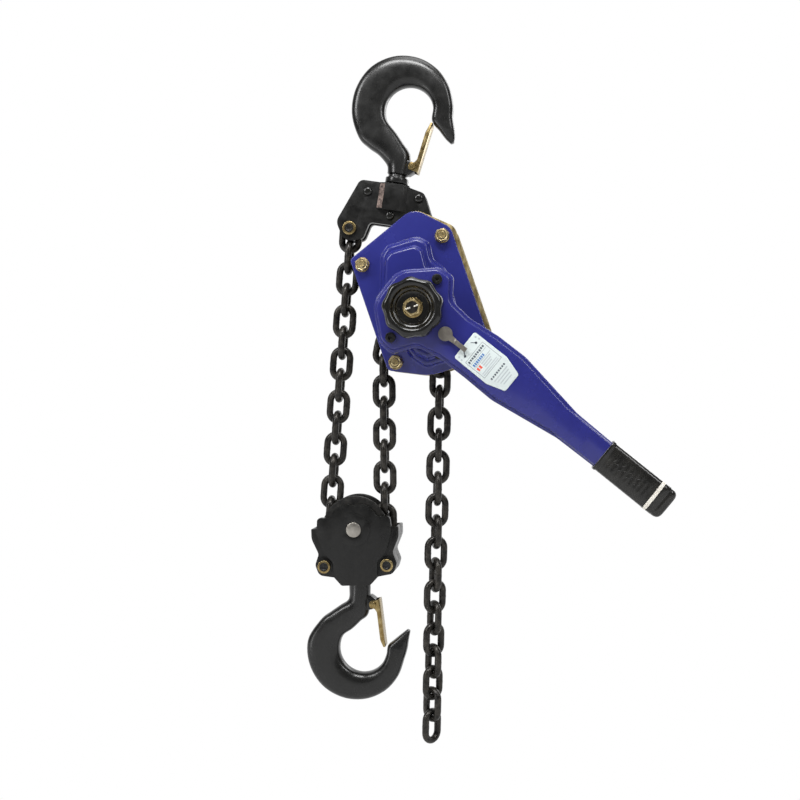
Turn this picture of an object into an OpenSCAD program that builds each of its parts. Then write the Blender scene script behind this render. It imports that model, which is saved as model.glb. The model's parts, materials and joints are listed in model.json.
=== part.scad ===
// Lever chain hoist with a two-fall load chain: top hook and yoke, hoist body with its
// brake, gears and lever, load chain, bottom block with its hook.
// +Z is up and +X points to the lever's side. The origin is the seat of the top hook,
// and the load chain lies in the plane Y = 0.

/* [Chain] */
// Pitch of the load chain, which is also the inner length of a link
chain_pitch = 30; // [28:0.5:32]
// Wire diameter of the load chain
chain_wire = 9.6; // [8.6:0.1:10]
// Inner width of a link
link_inner_w = 13.8; // [13:0.1:15]
// Play between two links that pull on each other
link_play = 0.3; // [0.2:0.05:0.5]
// Pairs of links that hang between the stay bolt and the idler sheave
middle_pairs = 4; // [2:1:7]
// Links in the free end of the chain
tail_links = 19; // [6:1:25]
// Lean of the free end, from the vertical
tail_lean = 1.4; // [0:0.1:2.5]
// Lean of its first two links, which come off the load sheave
tail_bend = 6.9; // [4:0.1:8]
// Twist from one link of the free end to the next
tail_twist = 3.5; // [0:0.1:4]
// Roll between its first four links, which turns the chain's flat side to the front
tail_roll = 22; // [22]
// How much closer than the pitch these rolled links sit
tail_slack = 1.4; // [1.3:0.1:1.8]
// Lean of the two links that pass the lower stay bolt
guide_lean = 11.8; // [11:0.1:14]

/* [Hooks] */
// Radius of the bowl, where a sling or shackle sits
bowl_r = 33.4; // [31:0.1:36]
// Distance from the axis of the top hook's shank to the middle of its bowl
bowl_offset = 2.3; // [1:0.1:4]
// The same distance on the bottom hook
low_bowl_offset = 1.6; // [0:0.1:3]
// Depth of the hook's back, from the bowl to the outside
hook_back = 43; // [38:0.5:46]
// Greatest thickness of the hook
hook_thick = 29; // [26:0.5:31]
// Radius of the hook's shank
shank_r = 15; // [14.5:0.1:16]
// Distance from the seat of the top hook to the shoulder of its shank
shoulder_drop = 123.5; // [121:0.5:130]
// The same distance on the bottom hook
low_shoulder_drop = 125.6; // [121:0.1:130]
// Radius of the stem that turns in the yoke or block
stem_r = 11; // [9:0.1:12]
// Radius of the nut that holds the stem
stem_nut_r = 14; // [13:0.1:15]
// Diameter of the latch's rivet
latch_pin_d = 6; // [5:0.1:7]
// Width of the latch over its cheeks
latch_w = 24; // [20:0.5:25]
// Thickness of the latch's sheet
latch_sheet = 1.6; // [1.2:0.1:2]
// Distance from the latch's rivet to the face of its web
latch_reach = 10.2; // [9.5:0.1:11]

/* [Yoke] */
// Tilt of the top hook and yoke
yoke_tilt = 9; // [5:0.5:11]
// Distance from the shank's axis to the chain's anchor bolt and to the hoist's pin
yoke_arm = 53.3; // [50:0.1:56]
// Drop from the hook's seat to these two
yoke_drop = 207.5; // [205:0.5:212]
// Height of the collar between the hook's shoulder and the yoke
collar_h = 15; // [13:0.5:17]
// Thickness of a yoke plate
yoke_plate_t = 8.5; // [7:0.1:9]
// Gap between the two yoke plates
yoke_gap = 13; // [11:0.1:14]
// Half depth of the boss that holds the stem
yoke_boss_r = 21; // [19:0.5:21.4]
// Half width of this boss where it leaves the plates
yoke_boss_w = 20.5; // [19:0.5:22]
// Width of its slanted sides
yoke_boss_side = 8.5; // [7:0.5:9]
// Radius of the chain's anchor bolt
anchor_r = 6; // [5:0.1:6.3]
// Radius of the pin that carries the hoist
top_pin_r = 8; // [7:0.1:10]

/* [Hoist body] */
// Tilt of the hoist body
body_tilt = 19; // [17:0.5:21]
// Distance of the main axis from the hook's seat, sideways
axis_x = 10.4; // [8:0.1:12]
// Distance of the main axis below the hook's seat
axis_drop = 314.5; // [312:0.5:318]
// Gap between the two side plates
plate_gap = 44; // [43:0.2:46]
// Thickness of a side plate
plate_t = 6; // [5:0.2:7]
// Reach of the plates left of the main axis
plate_left = 66; // [63:0.5:68]
// Reach of the plates right of the main axis
plate_right = 84.5; // [82:0.5:90]
// Amount by which the covers stop short of the plates' right edge
cover_inset = 5.5; // [2:0.5:6]
// Distance between the left and right stay bolts
stay_span = 116.2; // [114:0.2:118]
// Distance from the main axis to the middle between the stay bolts
stay_shift = 6.3; // [5:0.1:7.5]
// Height of the upper stay bolts above the main axis
stay_up = 86.8; // [84:0.2:88]
// Height of the lower stay bolts below the main axis
stay_down = 55; // [54:0.2:58]
// Radius of a stay bolt
stay_r = 5.4; // [4.5:0.1:5.8]
// Width across flats of the stay bolts' nuts
nut_af = 17; // [15:0.5:19]
// Height of these nuts
nut_h = 10; // [8:0.5:12]
// Sheet thickness of the covers
sheet = 3; // [2.5:0.1:3.2]
// Depth of the brake cover's drum
drum_depth = 27; // [26.8:0.1:29]
// Radius of the brake cover's drum
drum_r = 46; // [45.5:0.1:48]
// Depth of the gear case
case_depth = 31; // [30.5:0.1:34]

/* [Gears] */
// Module of the gears
gear_module = 1.75; // [1.7:0.01:1.78]
// Teeth of a pinion
pinion_teeth = 12; // [12]
// Teeth of a wheel
wheel_teeth = 36; // [36]
// Backlash of a mesh
backlash = 0.5; // [0.4:0.05:0.6]
// Radius of the drive shaft
shaft_r = 9; // [8.6:0.1:9.4]
// Running clearance on a radius
run = 0.05; // [0.02:0.01:0.1]

/* [Brake] */
// Radius of the ratchet disc
ratchet_r = 36; // [35.5:0.1:37]
// Teeth of the ratchet disc
ratchet_teeth = 12; // [12]
// Depth of these teeth
ratchet_depth = 5; // [4.6:0.1:5.4]
// Thickness of the ratchet disc
ratchet_t = 7; // [6.4:0.1:7.4]
// Thickness of a friction disc
friction_t = 3; // [2.6:0.1:3.2]

/* [Lever] */
// Length of the lever, from the main axis to the end of the grip
lever_len = 418; // [395:1:435]
// Angle of the lever, in the body's own frame
lever_angle = -58; // [-58]
// Length of the grip
grip_len = 107; // [90:1:115]
// Half width of the grip
grip_half_w = 22; // [20:0.1:23]
// Half depth of the grip
grip_half_t = 14; // [13:0.1:16]
// Distance by which the arm runs beside the line through the main axis
arm_shift = 6.2; // [0:0.1:8]
// Depth of each half of the lever
lever_half_t = 13.6; // [13.4:0.1:14.4]
// Distance from the main axis to the selector's axis
selector_dist = 54; // [54]
// Teeth of the change gear
change_teeth = 20; // [20]
// Radius of the change gear
change_r = 28; // [27.6:0.1:28.4]
// Diameter of the handwheel
wheel_d = 82; // [80:1:84]
// Lobes of the handwheel
wheel_lobes = 9; // [7:1:12]
// Depth of the handwheel
wheel_t = 22; // [20:0.5:24]

/* [Block] */
// Tilt of the bottom block and hook
block_tilt = -2.4; // [-4:0.2:2]
// Distance of the idler's axle left of the hook's seat
idler_left = 78.6; // [77:0.1:80]
// Distance from the axle to the lower face of the block
block_drop = 76.5; // [76:0.5:80]
// Room between the chain on the idler sheave and the block's guards
guard_gap = 1.5; // [1.3:0.1:2]
// Wall of these guards
guard_t = 3.2; // [3:0.1:5]
// Thickness of the block's base
base_t = 5; // [4:0.5:6]
// Thickness of the raised cheeks on it
cheek_t = 6.5; // [5:0.5:8]
// Distance from the block's middle to its bolts
block_bolt_x = 43.6; // [42.5:0.1:45]
// Drop from the axle to these bolts
block_bolt_drop = 50; // [49:0.5:52]
// Radius of the idler's axle
axle_r = 10.3; // [9.5:0.1:11]
// Radius of the sheaves' flanges
flange_r = 45.5; // [44:0.5:48]

/* [Hidden] */
$fn = 48;

paint = [0.16, 0.17, 0.45];
forged = [0.13, 0.13, 0.13];
zinc = [0.66, 0.58, 0.34];
steel = [0.6, 0.6, 0.58];
dark_steel = [0.3, 0.3, 0.3];
rubber = [0.1, 0.1, 0.1];
bronze = [0.6, 0.42, 0.22];

// Chain
wire_r = chain_wire / 2;
link_inner_r = link_inner_w / 2;
leg_x = link_inner_r + wire_r;
link_half_inner = (chain_pitch + link_play) / 2;
bow_z = link_half_inner - link_inner_r;
link_half_w = link_inner_r + chain_wire;
// An edge-on link turns about the wires of its own bows, and a face-on link holds them
edge_half = link_half_inner + wire_r - link_play / 4;
face_half = chain_pitch - edge_half;
link_step = 45;
face_wrap_r = (edge_half + face_half * cos(link_step)) / sin(link_step);
edge_wrap_r = (face_half + edge_half * cos(link_step)) / sin(link_step);
joint_r = sqrt(pow(face_wrap_r, 2) + pow(face_half, 2));
face_angle = atan(face_half / face_wrap_r);
edge_angle = atan(edge_half / edge_wrap_r);
groove_r = face_wrap_r - link_half_w - 0.6;
seat_r = edge_wrap_r - wire_r - 0.3;
groove_half = wire_r + 0.7;
race_half = link_half_w + 0.7;

// Hoist body
axis = [axis_x, -axis_drop];
plate_in = plate_gap / 2;
plate_out = plate_in + plate_t;
cover_right = plate_right - cover_inset;
stay_left = stay_shift - stay_span / 2;
stay_right = stay_shift + stay_span / 2;
stays = [[stay_left, stay_up], [stay_right, stay_up], [stay_left, -stay_down],
         [stay_right, -stay_down]];
hub_r = 16;
bearing_r = 22;
hoist_rim_r = 45;
cover_front = plate_out + sheet;
drum_front = plate_out + sheet + drum_depth;
case_back = plate_out + sheet + case_depth;

// Top pin, seen from the main axis in the body's own frame
yoke_x = -bowl_offset;
yoke_top_drop = shoulder_drop + collar_h;
pin_world = turn2([yoke_x + yoke_arm, -yoke_drop], yoke_tilt);
pin_local = turn2(pin_world - axis, body_tilt);
anchor = turn2([yoke_x - yoke_arm, -yoke_drop], yoke_tilt);
yoke_out = yoke_gap / 2 + yoke_plate_t;
first_link_drop = link_half_inner - anchor_r - 0.1;

// Chain's path
top_joint = axis + [-joint_r, 0];
bend_joint = top_joint + 2 * chain_pitch * [-sin(guide_lean), -cos(guide_lean)];
idler_x = -idler_left;
idler_right_x = idler_x + joint_r;
drop_len = 2 * chain_pitch * middle_pairs;
idler_z = bend_joint[1] - sqrt(pow(drop_len, 2) - pow(idler_right_x - bend_joint[0], 2));
idler = [idler_x, idler_z];
idler_right = idler + [joint_r, 0];
idler_left_joint = idler - [joint_r, 0];
strand_lean = atan((idler_left_joint[0] - anchor[0]) / (idler_left_joint[1] - anchor[1]));
tail_start = 180 - 4 * link_step - 2 * face_angle;
tail_joint = axis + joint_r * [cos(tail_start), sin(tail_start)];

// Gears
mesh_dist = gear_module * (pinion_teeth + wheel_teeth) / 2;
pressure = 25;
gear_gap = 1.6;
load_gear_y = plate_out + gear_gap;
load_gear_t = 11;
disc_gear_y = load_gear_y + load_gear_t + 1;
disc_gear_t = 8;
gear_tip = 0.85 * gear_module;
gear_root = 1.15 * gear_module;
disc_shaft_r = 6;

// Brake stack, counted forwards from the front side plate
brake_start = plate_out + 2;
hub_plate_t = 4;
friction_1 = brake_start + hub_plate_t;
ratchet_y = friction_1 + friction_t;
friction_2 = ratchet_y + ratchet_t;
brake_hub_y = friction_2 + friction_t;
brake_hub_t = 6;
brake_neck_r = 19;
cover_hole_r = 24;
pawl_r = 46.5;

// Lever
lever_back = drum_front + 2.5;
lever_mid = lever_back + lever_half_t;
lever_front = lever_mid + lever_half_t;
change_back = lever_back + sheet + 3;
change_t = 12;
wheel_back = lever_front + 1.6;
wheel_front = wheel_back + wheel_t;
pawl_gap = 1.2;
pawl_reach = (change_r + pawl_gap) * [cos(45), sin(45)] - [selector_dist, 0];
pawl_len = norm(pawl_reach);
pawl_spread = atan(-pawl_reach[1] / pawl_reach[0]);
grip_start = lever_len - grip_len;
screw_n = 49;

// Block
cheek_in = plate_in;
base_out = cheek_in + base_t;
cheek_out = base_out + cheek_t;
block_cavity_r = joint_r + link_half_w + guard_gap;
guard_r = block_cavity_r + guard_t;
nut_top = block_cavity_r + 0.5;
nut_floor = block_drop - 9;
hook_seat_drop = block_drop + low_shoulder_drop + 0.5;

// --- helpers -------------------------------------------------------------------------

// Turns a point of a tilted frame into the upright one, and back with a negative angle
function turn2(p, a) = [p[0] * cos(a) + p[1] * sin(a), p[1] * cos(a) - p[0] * sin(a)];
function unit(v) = v / norm(v);

// Points of a polygon whose corners [x, y, r] are rounded to their radius r
function corner(p0, p1, p2, r) =
    let (v1 = unit(p0 - p1), v2 = unit(p2 - p1), half = acos(v1 * v2) / 2)
    let (c = p1 + unit(v1 + v2) * r / sin(half), d = r / tan(half))
    let (s = p1 + v1 * d - c, e = p1 + v2 * d - c)
    let (a0 = atan2(s[1], s[0]), turn = atan2(s[0] * e[1] - s[1] * e[0], s * e))
    let (n = max(2, ceil(abs(turn) / 9)))
    [for (i = [0 : n]) c + r * [cos(a0 + turn * i / n), sin(a0 + turn * i / n)]];
function flat_point(p) = [p[0], p[1]];
function rounded(pts) =
    let (n = len(pts))
    [for (i = [0 : n - 1])
        each corner(flat_point(pts[(i + n - 1) % n]), flat_point(pts[i]),
                    flat_point(pts[(i + 1) % n]), pts[i][2])];

module along_y(y0, y1) {
    translate([0, y1, 0])
        rotate([90, 0, 0])
            linear_extrude(y1 - y0)
                children();
}

module rod(r, y0, y1, at = [0, 0]) {
    translate([at[0], y1, at[1]])
        rotate([90, 0, 0])
            cylinder(r = r, h = y1 - y0);
}

// Turned about the Y axis from a profile of [radius, y] points
module turned(profile) {
    rotate([-90, 0, 0])
        rotate_extrude($fn = 72)
            polygon(profile);
}

module hex(af, y0, y1, at = [0, 0]) {
    translate([at[0], y1, at[1]])
        rotate([90, 0, 0])
            cylinder(r = af / sqrt(3), h = y1 - y0, $fn = 6);
}

module on_yoke() {
    rotate([0, yoke_tilt, 0])
        translate([yoke_x, 0, 0])
            children();
}

module on_hoist() {
    translate([axis[0], 0, axis[1]])
        rotate([0, -body_tilt, 0])
            children();
}

module on_lever() {
    on_hoist()
        rotate([0, -lever_angle, 0])
            children();
}

module on_block() {
    translate([idler[0], 0, idler[1]])
        rotate([0, block_tilt, 0])
            children();
}

module on_bottom_hook() {
    on_block()
        translate([low_bowl_offset, 0, -hook_seat_drop])
            rotate([180, 0, 0])
                children();
}

// --- chain ---------------------------------------------------------------------------

module link() {
    color(forged) {
        for (side = [-1, 1]) {
            translate([side * leg_x, 0, -bow_z])
                cylinder(r = wire_r, h = 2 * bow_z);
            rotate([side * 90, 0, 0])
                translate([0, bow_z, 0])
                    rotate_extrude(angle = 180)
                        translate([leg_x, 0])
                            circle(r = wire_r);
        }
    }
}

// A link centred at p, with its length along the lean, face-on or turned by the twist
module link_at(p, lean, twist) {
    translate([p[0], 0, p[1]])
        rotate([0, lean, 0])
            rotate([0, 0, twist])
                link();
}

// Links side by side from one point to another, which the first and last stand off from
module strand(p0, p1, first, last, count, twist) {
    along = unit(p1 - p0);
    gap = (norm(p1 - p0) - first - last) / (count - 1);
    for (i = [0 : count - 1])
        link_at(p0 + along * (first + gap * i), atan2(along[0], along[1]), twist + 90 * i);
}

// Links laid round a sheave, from the first link's middle angle downwards
module wrap(centre, start, count, face_first) {
    for (i = [0 : count - 1]) {
        angle = start - link_step * i;
        face_on = (i % 2 == 0) == face_first;
        r = face_on ? face_wrap_r : edge_wrap_r;
        link_at(centre + r * [cos(angle), sin(angle)], -angle, face_on ? 0 : 90);
    }
}

module chain_left_strand() {
    reach = norm(idler_left_joint - anchor);
    steps = (reach - first_link_drop - edge_half) / chain_pitch;
    count = 2 * ceil((steps - 0.05 + 1) / 2);
    strand(anchor, idler_left_joint, first_link_drop, edge_half, count, 0);
}

module chain_middle_strand() {
    strand(top_joint, bend_joint, edge_half, face_half, 2, 90);
    strand(bend_joint, idler_right, edge_half, face_half, 2 * middle_pairs, 90);
}

module chain_on_load_sheave() {
    wrap(axis, 180 - face_angle, 5, true);
}

module chain_on_idler_sheave() {
    wrap(idler, -edge_angle, 4, false);
}

module chain_tail() {
    bend = tail_joint + 2 * (chain_pitch - tail_slack) * [-sin(tail_bend), -cos(tail_bend)];
    for (i = [0 : tail_links - 1]) {
        start = i < 2 ? tail_joint : bend;
        lean = i < 2 ? tail_bend : tail_lean;
        slack = tail_slack * (i < 2 ? i + 1 : min(i - 1, 2));
        along = edge_half + chain_pitch * (i < 2 ? i : i - 2) - slack;
        roll = min(tail_roll * (i + 1), 4 * tail_roll + tail_twist * (i - 3));
        link_at(start + along * [-sin(lean), -cos(lean)], lean, 90 * (i + 1) + roll);
    }
}

// Sheave turned to take flat links on its seats and standing links in its groove
module sheave(rim_r, bore_r, half_t) {
    turned([[bore_r, -half_t], [rim_r, -half_t], [rim_r, -race_half - 0.6],
            [rim_r - 2, -race_half], [seat_r + 3, -race_half], [seat_r, -race_half + 3],
            [seat_r, -groove_half], [groove_r, -groove_half + 1], [groove_r, groove_half - 1],
            [seat_r, groove_half], [seat_r, race_half - 3], [seat_r + 3, race_half],
            [rim_r - 2, race_half], [rim_r, race_half + 0.6], [rim_r, half_t],
            [bore_r, half_t]]);
}

// --- hooks ---------------------------------------------------------------------------

// Each hook from its tip to its shank, seen from the middle of its bowl. The horn and the
// neck are pairs of an inner and an outer point, and the keys are shares of the hook's back
// at angles round the bowl. The neck is drawn for a shoulder this far below the bowl's middle.
top_horn = [[[31, -37.3], [35.3, -34.8]], [[22.6, -31.4], [35.6, -28.5]],
            [[12, -21], [33, -16.5]], [[0.2, -9.5], [28.4, -1]]];
top_keys = [[15, 0.66], [45, 0.74], [75, 0.885], [105, 1.045], [135, 1.155], [165, 1.14],
            [190, 1.105], [215, 1.065]];
top_neck = [[[-12, -34], [-48.8, -57.7]], [[-1, -46], [-33, -66]],
            [[10.8, -60], [-19.8, -78]]];
top_neck_h = 90.1;
low_horn = [[[29.6, -25.2], [33.6, -22.6]], [[21.6, -19.3], [32.4, -17.5]],
            [[10.6, -11], [30.6, -9.5]], [[1.6, -3.4], [28.4, 2]]];
low_keys = [[15, 0.6], [45, 0.67], [75, 0.8], [105, 0.93], [135, 1.05], [165, 1.085],
            [190, 1.065], [215, 0.895]];
low_neck = [[[-14, -28], [-45, -51.5]], [[-2, -38.5], [-31, -60.5]],
            [[9.5, -49.5], [-18, -69.5]]];
low_neck_h = 92.2;

function round_station(a, keys) =
    [bowl_r * [cos(a), sin(a)], (bowl_r + hook_back * lookup(a, keys)) * [cos(a), sin(a)]];
function stations(horn, keys, neck, offset, stretch) = concat(
    [for (pair = horn) [for (p = pair) [bowl_r + p[0], p[1]]]],
    [for (a = [15 : 25 : 215]) round_station(a, keys)],
    [for (pair = concat(neck, [[[shank_r - offset, -84], [-shank_r - offset, -88]]]))
        [for (p = pair) [p[0], p[1] * stretch]]]);
station_thick = [[0, 0.3], [1, 0.52], [2, 0.75], [3, 0.87], [5, 1], [12, 1], [14, 0.98],
                 [16, 1.035]];

function soft(v) = sign(v) * pow(abs(v), 0.88);
ring_n = 16;
function ring(pair, i) =
    let (mid = (pair[0] + pair[1]) / 2, half = (pair[1] - pair[0]) / 2)
    let (t = hook_thick / 2 * lookup(i, station_thick))
    [for (k = [0 : ring_n - 1])
        let (c = soft(cos(360 * k / ring_n)), s = soft(sin(360 * k / ring_n)))
        [mid[0] + half[0] * c, t * s, mid[1] + half[1] * c]];

// Latch of each hook: where it turns, from the hook's seat, its lean and its length
top_latch_at = [[16.6, -110.3], 8.3, 65];
low_latch_at = [[17.2, -95.6], 4.7, 60];
lug_half = latch_w / 2 - latch_sheet - 0.3;

module hook_shape(pairs) {
    n = len(pairs);
    points = [for (i = [0 : n - 1]) each ring(pairs[i], i)];
    sides = [for (i = [0 : n - 2], k = [0 : ring_n - 1])
        let (k2 = (k + 1) % ring_n)
        each [[i * ring_n + k, (i + 1) * ring_n + k, (i + 1) * ring_n + k2],
              [i * ring_n + k, (i + 1) * ring_n + k2, i * ring_n + k2]]];
    first_cap = [[for (k = [0 : ring_n - 1]) k]];
    last_cap = [[for (k = [ring_n - 1 : -1 : 0]) (n - 1) * ring_n + k]];
    polyhedron(points = points, faces = concat(sides, first_cap, last_cap), convexity = 6);
}

// A hook whose seat is at the origin and whose shank runs down, its axis at -offset
module hook(stem_end, shoulder, offset, horn, keys, neck, neck_h, latch_at) {
    stretch = (shoulder - bowl_r) / neck_h;
    shank_top = bowl_r + 86 * stretch;
    color(forged)
        difference() {
            union() {
                translate([0, 0, -bowl_r])
                    hook_shape(stations(horn, keys, neck, offset, stretch));
                translate([-offset, 0, -shoulder])
                    cylinder(r = shank_r, h = shoulder - shank_top);
                translate([-offset, 0, -stem_end])
                    cylinder(r = stem_r, h = stem_end - shank_top);
                along_y(-lug_half, lug_half)
                    translate(latch_at[0])
                        polygon(rounded([[-14, -12, 2], [-2.3, -12, 2], [3.8, -7, 2.5],
                                         [5.2, -1, 3], [4.5, 4.5, 3.5], [-2, 7, 3],
                                         [-16, 9, 2]]));
            }
            rod(latch_pin_d / 2 + run, -30, 30, latch_at[0]);
            for (side = [-1, 1])
                translate([0, side * (lug_half + 15), 0])
                    rod(7.8, -15, 15, latch_at[0]);
        }
}

module latch_pin(latch_at) {
    color(steel) {
        rod(latch_pin_d / 2, -latch_w / 2 - 1.6, latch_w / 2 + 1.6, latch_at[0]);
        for (side = [-1, 1])
            translate([0, side * (latch_w / 2 + 1.1), 0])
                rod(latch_pin_d / 2 + 1.4, -0.9, 0.9, latch_at[0]);
    }
}

// Channel of bent sheet with two cheeks on the rivet, its web towards the hook's mouth
module latch(latch_at) {
    half = latch_w / 2;
    end = latch_at[2];
    color(zinc)
        translate([latch_at[0][0], 0, latch_at[0][1]])
            rotate([0, latch_at[1], 0])
                difference() {
                    union() {
                        for (side = [-1, 1])
                            translate([0, side * (half - latch_sheet / 2), 0])
                                along_y(-latch_sheet / 2, latch_sheet / 2)
                                    polygon(rounded([[-5, -5, 4.6], [latch_reach, -6, 1],
                                                     [latch_reach, end, 1],
                                                     [latch_reach - 2.6, end, 1],
                                                     [latch_reach - 5.8, 50, 12],
                                                     [latch_reach - 5.8, 11, 5],
                                                     [1.5, 5.4, 3], [-5, 5.4, 4.6]]));
                        along_y(-half, half)
                            polygon([[latch_reach - latch_sheet, -6], [latch_reach, -6],
                                     [latch_reach, end], [latch_reach - latch_sheet, end]]);
                    }
                    rod(latch_pin_d / 2 + run, -half - 1, half + 1);
                }
}

module stem_nut(z0, z1, offset) {
    color(dark_steel)
        translate([-offset, 0, 0])
            difference() {
                translate([0, 0, z0])
                    cylinder(r = stem_nut_r, h = z1 - z0);
                translate([0, 0, z0 - 1])
                    cylinder(r = stem_r + run, h = z1 - z0 + 2);
            }
}

// --- yoke ----------------------------------------------------------------------------

yoke_shape = rounded([
    [-49, -yoke_top_drop, 9], [11, -yoke_top_drop, 40], [42.5, -yoke_top_drop - 7, 9],
    [yoke_arm + 16, 7 - yoke_drop, 14], [yoke_arm + 4, -yoke_drop - 18.5, 16],
    [33, -yoke_drop - 12, 9], [27, 12.2 - yoke_drop, 6],
    [-27, 12.2 - yoke_drop, 6], [-33, -yoke_drop - 12, 9],
    [-yoke_arm - 5, -yoke_drop - 19.5, 16], [-yoke_arm - 20.5, 7 - yoke_drop, 14]]);
boss_drop = 37;
boss_face = yoke_boss_w - yoke_boss_side;
boss_shape = [
    [-yoke_boss_w, -yoke_out], [-boss_face, -yoke_boss_r], [boss_face, -yoke_boss_r],
    [yoke_boss_w, -yoke_out], [yoke_boss_w, yoke_out], [boss_face, yoke_boss_r],
    [-boss_face, yoke_boss_r], [-yoke_boss_w, yoke_out]];
yoke_nut_top = yoke_top_drop + 12.5;
yoke_nut_h = 14;
rivet_spots = [[-36, -yoke_top_drop - 15], [36, -yoke_top_drop - 15],
               [0, -yoke_top_drop - boss_drop - 7]];
rivet_r = 3.6;
spacer_r = 7;

module yoke_plate(side) {
    color(forged)
        intersection() {
            difference() {
                union() {
                    along_y(side > 0 ? yoke_gap / 2 : -yoke_out,
                            side > 0 ? yoke_out : -yoke_gap / 2)
                        polygon(yoke_shape);
                    translate([0, 0, -yoke_top_drop - boss_drop])
                        linear_extrude(boss_drop)
                            polygon(boss_shape);
                }
                translate([0, 0, -yoke_top_drop - boss_drop])
                    cylinder(r = stem_r + run, h = boss_drop + 1);
                translate([0, 0, -yoke_nut_top - yoke_nut_h - 0.6])
                    cylinder(r = stem_nut_r + 0.5, h = yoke_nut_h + 0.8);
                for (x = [-yoke_arm, yoke_arm])
                    rod((x < 0 ? anchor_r : top_pin_r) + run, -50, 50, [x, -yoke_drop]);
                for (at = rivet_spots)
                    rod(rivet_r + run, -50, 50, at);
                translate([-yoke_arm, 0, -yoke_drop])
                    rotate([0, strand_lean - yoke_tilt, 0])
                        translate([0, 0, -first_link_drop - chain_pitch + bow_z])
                            rotate([0, 90, 0])
                                cylinder(r = link_half_w + 1.2, h = 13, center = true);
            }
            translate([-100, side > 0 ? 0.1 : -60, -260])
                cube([200, 59.9, 260]);
        }
}

module yoke_plate_front() {
    on_yoke()
        yoke_plate(-1);
}

module yoke_plate_rear() {
    on_yoke()
        yoke_plate(1);
}

module yoke_rivets() {
    color(forged)
        on_yoke()
            for (at = rivet_spots) {
                rod(rivet_r, -yoke_out - 1, yoke_out + 1, at);
                for (side = [-1, 1])
                    translate([0, side * (yoke_out + 0.8), 0])
                        rod(rivet_r + 2.2, -0.7, 0.7, at);
            }
}

module yoke_spacers() {
    color(dark_steel)
        on_yoke()
            for (at = rivet_spots)
                difference() {
                    rod(spacer_r, -yoke_gap / 2 + run, yoke_gap / 2 - run, at);
                    rod(rivet_r + run, -20, 20, at);
                    translate([0, 0, -yoke_top_drop - boss_drop - 0.2])
                        cylinder(r = yoke_boss_w + 0.2, h = boss_drop + 1);
                }
}

module anchor_bolt() {
    head_t = 5;
    on_yoke()
        color(zinc)
            difference() {
                union() {
                    rod(anchor_r, -yoke_out - 2, yoke_out + 7, [-yoke_arm, -yoke_drop]);
                    rod(9.5, -yoke_out - head_t, -yoke_out - run, [-yoke_arm, -yoke_drop]);
                }
                hex(8, -yoke_out - head_t - 1, -yoke_out - 1, [-yoke_arm, -yoke_drop]);
            }
}

module anchor_nut() {
    on_yoke()
        color(zinc)
            difference() {
                hex(19, yoke_out + run, yoke_out + 8, [-yoke_arm, -yoke_drop]);
                rod(anchor_r + run, yoke_out - 1, yoke_out + 9, [-yoke_arm, -yoke_drop]);
            }
}

module top_pin() {
    color(steel)
        on_yoke()
            rod(top_pin_r, -plate_out + 0.2, plate_out - 0.2, [yoke_arm, -yoke_drop]);
}

module top_pin_spacers() {
    color(steel)
        on_yoke()
            for (side = [-1, 1])
                difference() {
                    translate([0, side * (yoke_out + plate_in) / 2, 0])
                        rod(top_pin_r + 5, -(plate_in - yoke_out) / 2 + 0.1,
                            (plate_in - yoke_out) / 2 - 0.1, [yoke_arm, -yoke_drop]);
                    rod(top_pin_r + run, -40, 40, [yoke_arm, -yoke_drop]);
                }
}

module top_hook() {
    rotate([0, yoke_tilt, 0])
        hook(yoke_nut_top + yoke_nut_h - 1, shoulder_drop, bowl_offset, top_horn, top_keys,
             top_neck, top_neck_h, top_latch_at);
}

module top_hook_collar() {
    color(forged)
        rotate([0, yoke_tilt, 0])
            translate([-bowl_offset, 0, 0])
                difference() {
                    union() {
                        translate([0, 0, -yoke_top_drop + 0.3])
                            cylinder(r = shank_r - 2, h = collar_h - 0.35);
                        translate([0, 0, -yoke_top_drop + 2.5])
                            cylinder(r = shank_r + 1.2, h = 8);
                    }
                    translate([0, 0, -yoke_top_drop - 1])
                        cylinder(r = stem_r + run, h = collar_h + 2);
                }
}

module top_hook_nut() {
    rotate([0, yoke_tilt, 0])
        stem_nut(-yoke_nut_top - yoke_nut_h, -yoke_nut_top, bowl_offset);
}

module top_latch() {
    rotate([0, yoke_tilt, 0])
        latch(top_latch_at);
}

module top_latch_pin() {
    rotate([0, yoke_tilt, 0])
        latch_pin(top_latch_at);
}

// --- hoist body ----------------------------------------------------------------------

function plate_shape(right) = rounded([
    [-plate_left, -62, 8], [-14, -87.5, 60], [28, -89.5, 60], [right, -62, 16],
    [right, 94, 18], [pin_local[0] - 1, pin_local[1] + 43, 24], [-plate_left, 99.5, 7]]);

module side_plate(y0) {
    color(zinc)
        difference() {
            along_y(y0, y0 + plate_t)
                polygon(plate_shape(plate_right));
            rod(bearing_r + run, y0 - 1, y0 + plate_t + 1);
            rod(top_pin_r + run, y0 - 1, y0 + plate_t + 1, pin_local);
            for (at = stays)
                rod(stay_r + run, y0 - 1, y0 + plate_t + 1, at);
            children();
        }
}

pawl_pin_r = 4;
pawl_spots = [[-8, 64], [8, -64]];
tip_angle = 66;

module side_plate_front() {
    on_hoist()
        side_plate(-plate_out)
            for (at = pawl_spots)
                rod(pawl_pin_r + run, -plate_out - 1, -plate_in + 1, at);
}

module side_plate_rear() {
    on_hoist()
        side_plate(plate_in)
            for (side = [-1, 1])
                rod(disc_shaft_r + run, plate_in - 1, plate_out + 1, [0, side * mesh_dist]);
}

module stay_bolts() {
    color(steel)
        on_hoist()
            for (at = stays) {
                rod(stay_r, -cover_front - nut_h - 1, cover_front + nut_h + 1, at);
                rod(stay_r + 0.8, -plate_in + run, plate_in - run, at);
            }
}

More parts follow.
